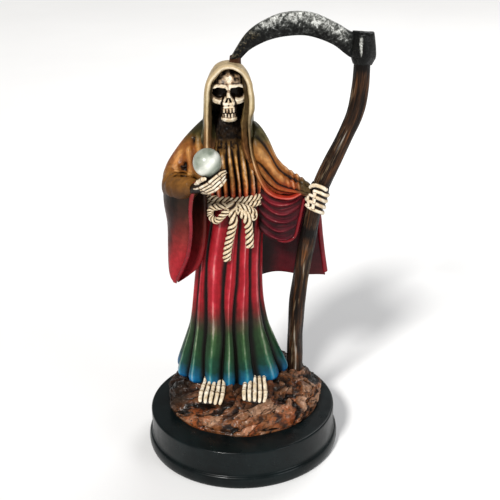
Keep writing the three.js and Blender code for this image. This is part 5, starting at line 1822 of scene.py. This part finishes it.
@dataclass
class CordBelt:
    """The twisted cord belt: two turns, a bow, the knot and two hanging ends, cast with the robe."""

    thickness: float = 3.2
    lay: float = 6.8
    turn_lay: float = 6.2
    steps: int = 120
    turn_steps: int = 240
    strand_sides: int = 12
    knot: Rows = ((-4.6, -7.2, 101.6, 1.4), (-2.4, -8.6, 101.4, 2.3), (0.4, -7.4, 101.2, 1.4))
    loops: Sequence[Rows] = (
        (
            (-2.6, -8.4, 101.8), (-7.0, -8.6, 101.2), (-11.0, -7.0, 99.6), (-11.2, -7.2, 96.0),
            (-8.8, -8.4, 94.6), (-6.2, -9.0, 97.2), (-3.2, -8.6, 100.4),
        ),
        (
            (-1.6, -8.6, 101.8), (3.0, -8.8, 100.6), (6.8, -7.6, 98.0), (6.6, -7.6, 95.4), (3.6, -8.8, 97.6),
            (-0.8, -8.8, 100.2),
        ),
    )
    hanging: Sequence[Rows] = (
        (
            (-3.0, -8.6, 101), (-1.7, -8.4, 95), (-2.6, -8.0, 90), (-4.0, -7.8, 84), (-5.0, -7.8, 78),
            (-5.0, -7.6, 75.4),
        ),
        (
            (0.8, -9.2, 99.6), (4.0, -8.6, 95), (4.7, -7.8, 90.4), (4.9, -7.6, 86), (4.8, -7.5, 81.4),
        ),
    )

    def strands(self, spine: Spine, radius: float, turns: float, blunt: float = 0.0) -> list[Skin]:
        """Three strands that wind round the cord's middle.

        A strand's middle is the cord's plus half the radius at an angle that grows along it, and the
        strand itself is a ring round that, a little more than half the cord's radius thick.

        Args:
            spine: The cord's middle.
            radius: The cord's radius.
            turns: How often the strands wind round.
            blunt: Share of the length over which the ends are rounded, or 0 for a cord closed on itself.

        Returns:
            The three strands.
        """
        middle, thick, count = 0.5, 0.58, 3
        share = (spine.run / spine.run[-1])[:, None]
        taper = rounded(share, blunt, 0.01) if blunt else np.ones_like(share)
        ring = around(self.strand_sides)
        skins = []
        for strand in range(count):
            phase = TURN * (strand / count + turns * share)
            across = (middle * radius * np.cos(phase) + thick * radius * np.cos(ring)) * taper
            above = (middle * radius * np.sin(phase) + thick * radius * np.sin(ring)) * taper
            # Painted shade on each strand's inner side, between the strands.
            shade_and_tint = np.clip(3.6 - 3.6 * np.hypot(across, above) / (radius * taper), 0.0, 1.0)
            skins.append(spine.skin(across, above, shade_and_tint, None, Ends.FAN if blunt else Ends.LOOP))
        return skins

    def cord(self, stops: Rows, size: float) -> list[Skin]:
        """An open cord along stops, with its twist set by the lay."""
        radius = 0.5 * size * self.thickness
        spine = Tube([(*stop, radius) for stop in stops], self.steps, up=(0.0, 0.2, 1.0)).spine()
        return self.strands(spine, radius, spine.run[-1] / (self.lay * size), 0.03)

    def turn(self, lift: float, out: float) -> list[Skin]:
        """One closed turn round the waist: an ellipse that dips slightly in front."""
        steps = self.turn_steps
        angle = around(steps)[0]
        across, deep = 13.5 + out, 9.9 + out
        x, y = -1.2 + across * np.sin(angle), 3.1 - deep * np.cos(angle)
        side = unit(together(np.sin(angle) / across, -np.cos(angle) / deep, 0.0))
        rise = np.broadcast_to(np.array(UP), side.shape)
        spine = Spine(together(x, y, 102.4 + lift - 0.6 * np.cos(angle)), side, rise)
        return self.strands(spine, 1.45, round(spine.run[-1] / self.turn_lay) * (steps - 1) / steps)

    def build(self) -> bpy.types.Object:
        """Makes the whole belt as one piece."""

        def ply(share: Array, angle: Array) -> Array:
            """Three ridges that wind round the knot."""
            return np.sin(3.0 * angle + 16.0 * share)

        # The knot's paint: painted shade between its winding ridges.
        knot = Tube(self.knot, steps=40, sides=24, blunt=0.06).skin(
            lambda share, angle: 1.0 + 0.09 * ply(share, angle),
            lambda share, angle: np.clip(0.35 - 0.7 * ply(share, angle), 0.0, 1.0),
        )
        skins = [*self.turn(1.35, 0.0), *self.turn(-1.3, -0.05), knot]
        for paths, size in ((self.loops, 0.85), (self.hanging, 1.08)):
            skins += [strand for stops in paths for strand in self.cord(stops, size)]
        return make_piece("cord_belt", skins, RopePaint().material())


@dataclass
class Mound:
    """The rocky ground that the figure stands on.

    The profile's rows are a level, its height and its share of the radius. The footprints' are x, y and half
    width of ground that is trodden flat.
    """

    profile: Rows = (
        (0, 0, 1.0), (1, 2.2, 1.0), (2, 5.0, 0.975), (3, 7.6, 0.87), (4, 10.0, 0.7), (5, 11.6, 0.52),
        (6, 13.6, 0.3),
    )
    radius: float = 35.36
    centre: tuple[float, float] = (0.7, 5.5)
    footprints: Rows = ((-13.8, -14.0, 8.0), (5.8, -13.6, 8.0))
    slope: float = 26.0
    rings: int = 158
    columns: int = 400

    def skin(self) -> Skin:
        """Rings that rise and shrink; slabs of cell noise shift them, with grooves between the slabs."""
        level = np.linspace(0.0, 6.0, self.rings)[:, None]
        z, share = read(self.profile, level)
        angle = around(self.columns)
        crag = 0.022 * np.sin(7 * angle + 0.7 * level) + 0.02 * np.sin(11 * angle - 0.5 * level)
        reach = self.radius * share * (1.0 + crag * np.where(level > 0.6, 1.0, 0.3))
        x = self.centre[0] + reach * np.cos(angle)
        y = self.centre[1] + 0.99 * reach * np.sin(angle)
        base = together(x, y, z + 0.55 * np.sin(9 * angle + 1.3 * level) * bell(level, 3.5, 1.8, 4.0))
        warped = base + 2.0 * np.stack([rough(base, 6.0, s, 2) for s in (51, 53, 57)], -1)
        slope = math.radians(self.slope)
        along = warped[..., 0] * math.cos(slope) + warped[..., 2] * math.sin(slope)
        across = warped[..., 2] * math.cos(slope) - warped[..., 0] * math.sin(slope)
        strata = together(0.4 * along, 0.85 * warped[..., 1], 1.7 * across)
        gap, mark, rise = slabs(strata, 6.2, 61)
        small_gap, small, small_rise = slabs(strata + 3.0, 2.2, 71)
        broken = 0.4 + 0.6 * ease(rough(base, 9.0, 91, 2), -0.2, 0.4)
        lump = 0.9 * (mark - 0.5) + 2.2 * rise + broken * (0.4 * (small - 0.5) + 0.9 * small_rise)
        lump = lump + 0.22 * rough(base, 1.4, 81, 3)
        crack = (1.0 - ease(gap, 0.0, 0.07)) * (mark > 0.35)
        chip = (1.0 - ease(small_gap, 0.0, 0.1)) * (small > 0.5) * broken
        push = np.clip(lump - 0.6 * crack - 0.25 * chip, -1.7, 1.3) * ease(level, 0.1, 0.8)
        steps = (bell(np.hypot(x - at_x, y - at_y), 0.0, wide, 4.0) for at_x, at_y, wide in self.footprints)
        trodden = sum(steps)
        push = push * (1.0 - 0.8 * trodden) - 0.5 * trodden
        lean = (7.0 - level) / 4.0
        outward = unit(together(np.cos(angle) * lean, np.sin(angle) * lean, 0.3 + level / 3.0))
        points = base + push[..., None] * outward
        points[..., 2] = np.maximum(points[..., 2], 0.0)
        # Painted shade in the cracks, chips and low places, towards the back and on the left side under the
        # robe.
        low = np.clip(-0.9 * (push + 0.25), 0.0, 0.8)
        shade = 0.6 * ease(y, 2.0, 16.0) + 0.75 * ease(-x, 16.0, 26.0) * ease(y, -22.0, -8.0)
        shade_and_tint = np.clip(0.9 * crack + 0.4 * chip + low + shade, 0.0, 1.0)
        return Skin(points, shade_and_tint, np.clip(0.62 * mark + 0.3 * small + 0.25 * push + 0.1, 0.0, 1.0))

    def build(self) -> bpy.types.Object:
        """Makes the mound, which stands for the casting's solid together with all that stands on it."""
        piece = make_piece("rocky_mound", [self.skin()], RockPaint().material())
        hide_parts("figure_casting")
        return piece


@dataclass
class Plinth:
    """The turned black plinth with a rounded bead at its foot."""

    wall: float = 42.4
    bead: float = 44.0
    bead_height: float = 6.0
    edge: float = 0.8
    columns: int = 256

    def skin(self) -> Skin:
        """A profile turned round the upright axis: foot, half round bead, cove, wall, rounded edge, top."""
        quarter = np.linspace(0.0, 0.5 * np.pi, 9)
        swell = np.linspace(-0.5 * np.pi, 0.5 * np.pi, 21)
        round_out = self.bead - 1.1 + 1.1 * np.cos(swell)
        bead = together(round_out, self.bead_height * (0.5 + 0.48 * np.sin(swell)))
        cove = np.array([[0.35, 0.15], [0.08, 0.6]]) + [self.wall, self.bead_height]
        wall = together(self.wall, np.linspace(self.bead_height + 1.2, PLINTH_TOP - 1.2, 14))
        top = together(self.wall, PLINTH_TOP) - self.edge * (1.0 - together(np.cos(quarter), np.sin(quarter)))
        flat = together(np.linspace(self.wall - 1.3, 2.0, 16), PLINTH_TOP)
        foot = together(np.linspace(2.0, self.bead - 1.4, 12), 0.0)
        profile = np.concatenate([foot, bead, cove, wall, top, flat])
        r, z = profile[:, :1], profile[:, 1:]
        angle = around(self.columns)
        return Skin(together(r * np.cos(angle), r * np.sin(angle), z - PLINTH_TOP))

    def build(self) -> bpy.types.Object:
        """Makes the plinth, which stands for its solid."""
        piece = make_piece("turned_plinth", [self.skin()], BlackLacquer().material(), Slot.PLINTH)
        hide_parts("plinth")
        return piece


@dataclass
class Pearl:
    """The bead in the hand, where its solid is."""

    node: str = "pearl"
    rings: int = 65
    columns: int = 96
    hole: float = 0.02

    def build(self) -> bpy.types.Object:
        """A sphere from rings of latitude, in the middle of the solid's box. It stands for its solid."""
        low, high = (np.array(corner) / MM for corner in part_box(self.node))
        middle, radius = (low + high) / 2.0 - np.array([0.0, 0.0, PLINTH_TOP]), (high - low)[2] / 2.0
        top = 0.5 * np.pi - self.hole
        tilt = np.linspace(-top, top, self.rings)[:, None]
        angle = around(self.columns)
        ball = together(np.cos(tilt) * np.cos(angle), np.cos(tilt) * np.sin(angle), np.sin(tilt))
        piece = make_piece("pearl_bead", [Skin(middle + radius * ball)], PearlCoat().material(), Slot.PEARL)
        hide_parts(self.node)
        return piece


@dataclass(frozen=True)
class Lamp:
    """One light: a soft sun where it has no size, and otherwise a square of that size."""

    name: str
    where: Triple
    size: float
    power: float
    tint: Triple


@dataclass
class Studio:
    """Camera at the photograph's angle, pale floor and soft lights.

    Places and the floor's reach are in metres of the frame, angles in degrees and the lens in millimetres.
    """

    camera_at: Triple = (0.005, -0.415, 0.280)
    pitch: float = 24.03
    roll: float = 1.2
    lens: float = 74.7
    target: Triple = (0.0, 0.0, 0.09)
    sun_width: float = 10.0
    sky: float = 0.25
    floor_reach: float = 4.0
    lamps: Sequence[Lamp] = (
        Lamp("key", (-0.42, -0.8, 0.85), 0.0, 3.1, (1.0, 0.985, 0.96)),
        Lamp("fill", (0.7, -0.55, 0.4), 0.4, 2.2, (0.95, 0.97, 1.0)),
        Lamp("rim", (0.35, 0.6, 0.7), 0.4, 3.0, (1.0, 1.0, 1.0)),
    )

    def camera(self) -> None:
        """Points the camera: pitch about the frame's X, then a small roll about its own axis."""
        pitch, roll = math.radians(self.pitch), math.radians(self.roll)
        ahead = Vector((0.0, math.cos(pitch), -math.sin(pitch)))
        right, up = Vector((1.0, 0.0, 0.0)), Vector((0.0, math.sin(pitch), math.cos(pitch)))
        turned_right = right * math.cos(roll) - up * math.sin(roll)
        turned_up = up * math.cos(roll) + right * math.sin(roll)
        data = bpy.data.cameras.new("camera")
        data.lens = self.lens
        data.sensor_width = 36.0
        data.sensor_fit = "HORIZONTAL"
        camera = bpy.data.objects.new("camera", data)
        basis = Matrix((turned_right, turned_up, -ahead)).transposed().to_4x4()
        camera.matrix_world = Matrix.Translation(Vector(self.camera_at)) @ basis
        bpy.context.scene.collection.objects.link(camera)
        bpy.context.scene.camera = camera

    def light(self) -> None:
        """A soft sun and two squares of light that face the figure's middle, and a pale world."""
        for lamp in self.lamps:
            data = bpy.data.lights.new(lamp.name, "AREA" if lamp.size else "SUN")
            if lamp.size:
                data.size = lamp.size
            else:
                data.angle = math.radians(self.sun_width)
            data.energy = lamp.power
            data.color = lamp.tint
            holder = bpy.data.objects.new(lamp.name, data)
            aim = Vector(self.target) - Vector(lamp.where)
            holder.rotation_mode = "QUATERNION"
            holder.rotation_quaternion = aim.to_track_quat("-Z", "Y")
            holder.location = lamp.where
            bpy.context.scene.collection.objects.link(holder)
        world = bpy.data.worlds.new("studio")
        bpy.context.scene.world = world
        world.use_nodes = True
        back = world.node_tree.nodes["Background"]
        back.inputs[0].default_value = (1.0, 1.0, 1.0, 1.0)
        back.inputs[1].default_value = self.sky
        bpy.context.scene.view_settings.view_transform = "Standard"

    def floor(self) -> None:
        """A wide pale sheet under the plinth."""
        mesh = bpy.data.meshes.new("floor")
        far = self.floor_reach
        mesh.from_pydata([(-far, -far, 0), (far, -far, 0), (far, far, 0), (-far, far, 0)], [], [(0, 1, 2, 3)])
        brush = Brush("floor_paper", Gloss(0.9, 0.05, 0.0, 0.5))
        paint = brush.mix(brush.spread(brush.noise(3.0), 0.3, 0.7), "f4f4f4", "f8f8f8")
        mesh.materials.append(brush.finish(paint))
        floor = bpy.data.objects.new("floor", mesh)
        bpy.context.scene.collection.objects.link(floor)

    def build(self) -> None:
        """Sets the whole stage."""
        self.camera()
        self.light()
        self.floor()


def main() -> None:
    """Builds the pieces in order."""
    logging.basicConfig(level=logging.INFO, format="%(name)s: %(message)s")
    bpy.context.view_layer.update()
    Plinth().build()
    Mound().build()
    Robe().build()
    Hood().build()
    Skull().build()
    Sleeves().build()
    scythe = Scythe()
    scythe.build()
    Bones().build(scythe.rod(200, 8))
    CordBelt().build()
    Pearl().build()
    Studio().build()


if __name__ == "__main__":
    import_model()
    main()
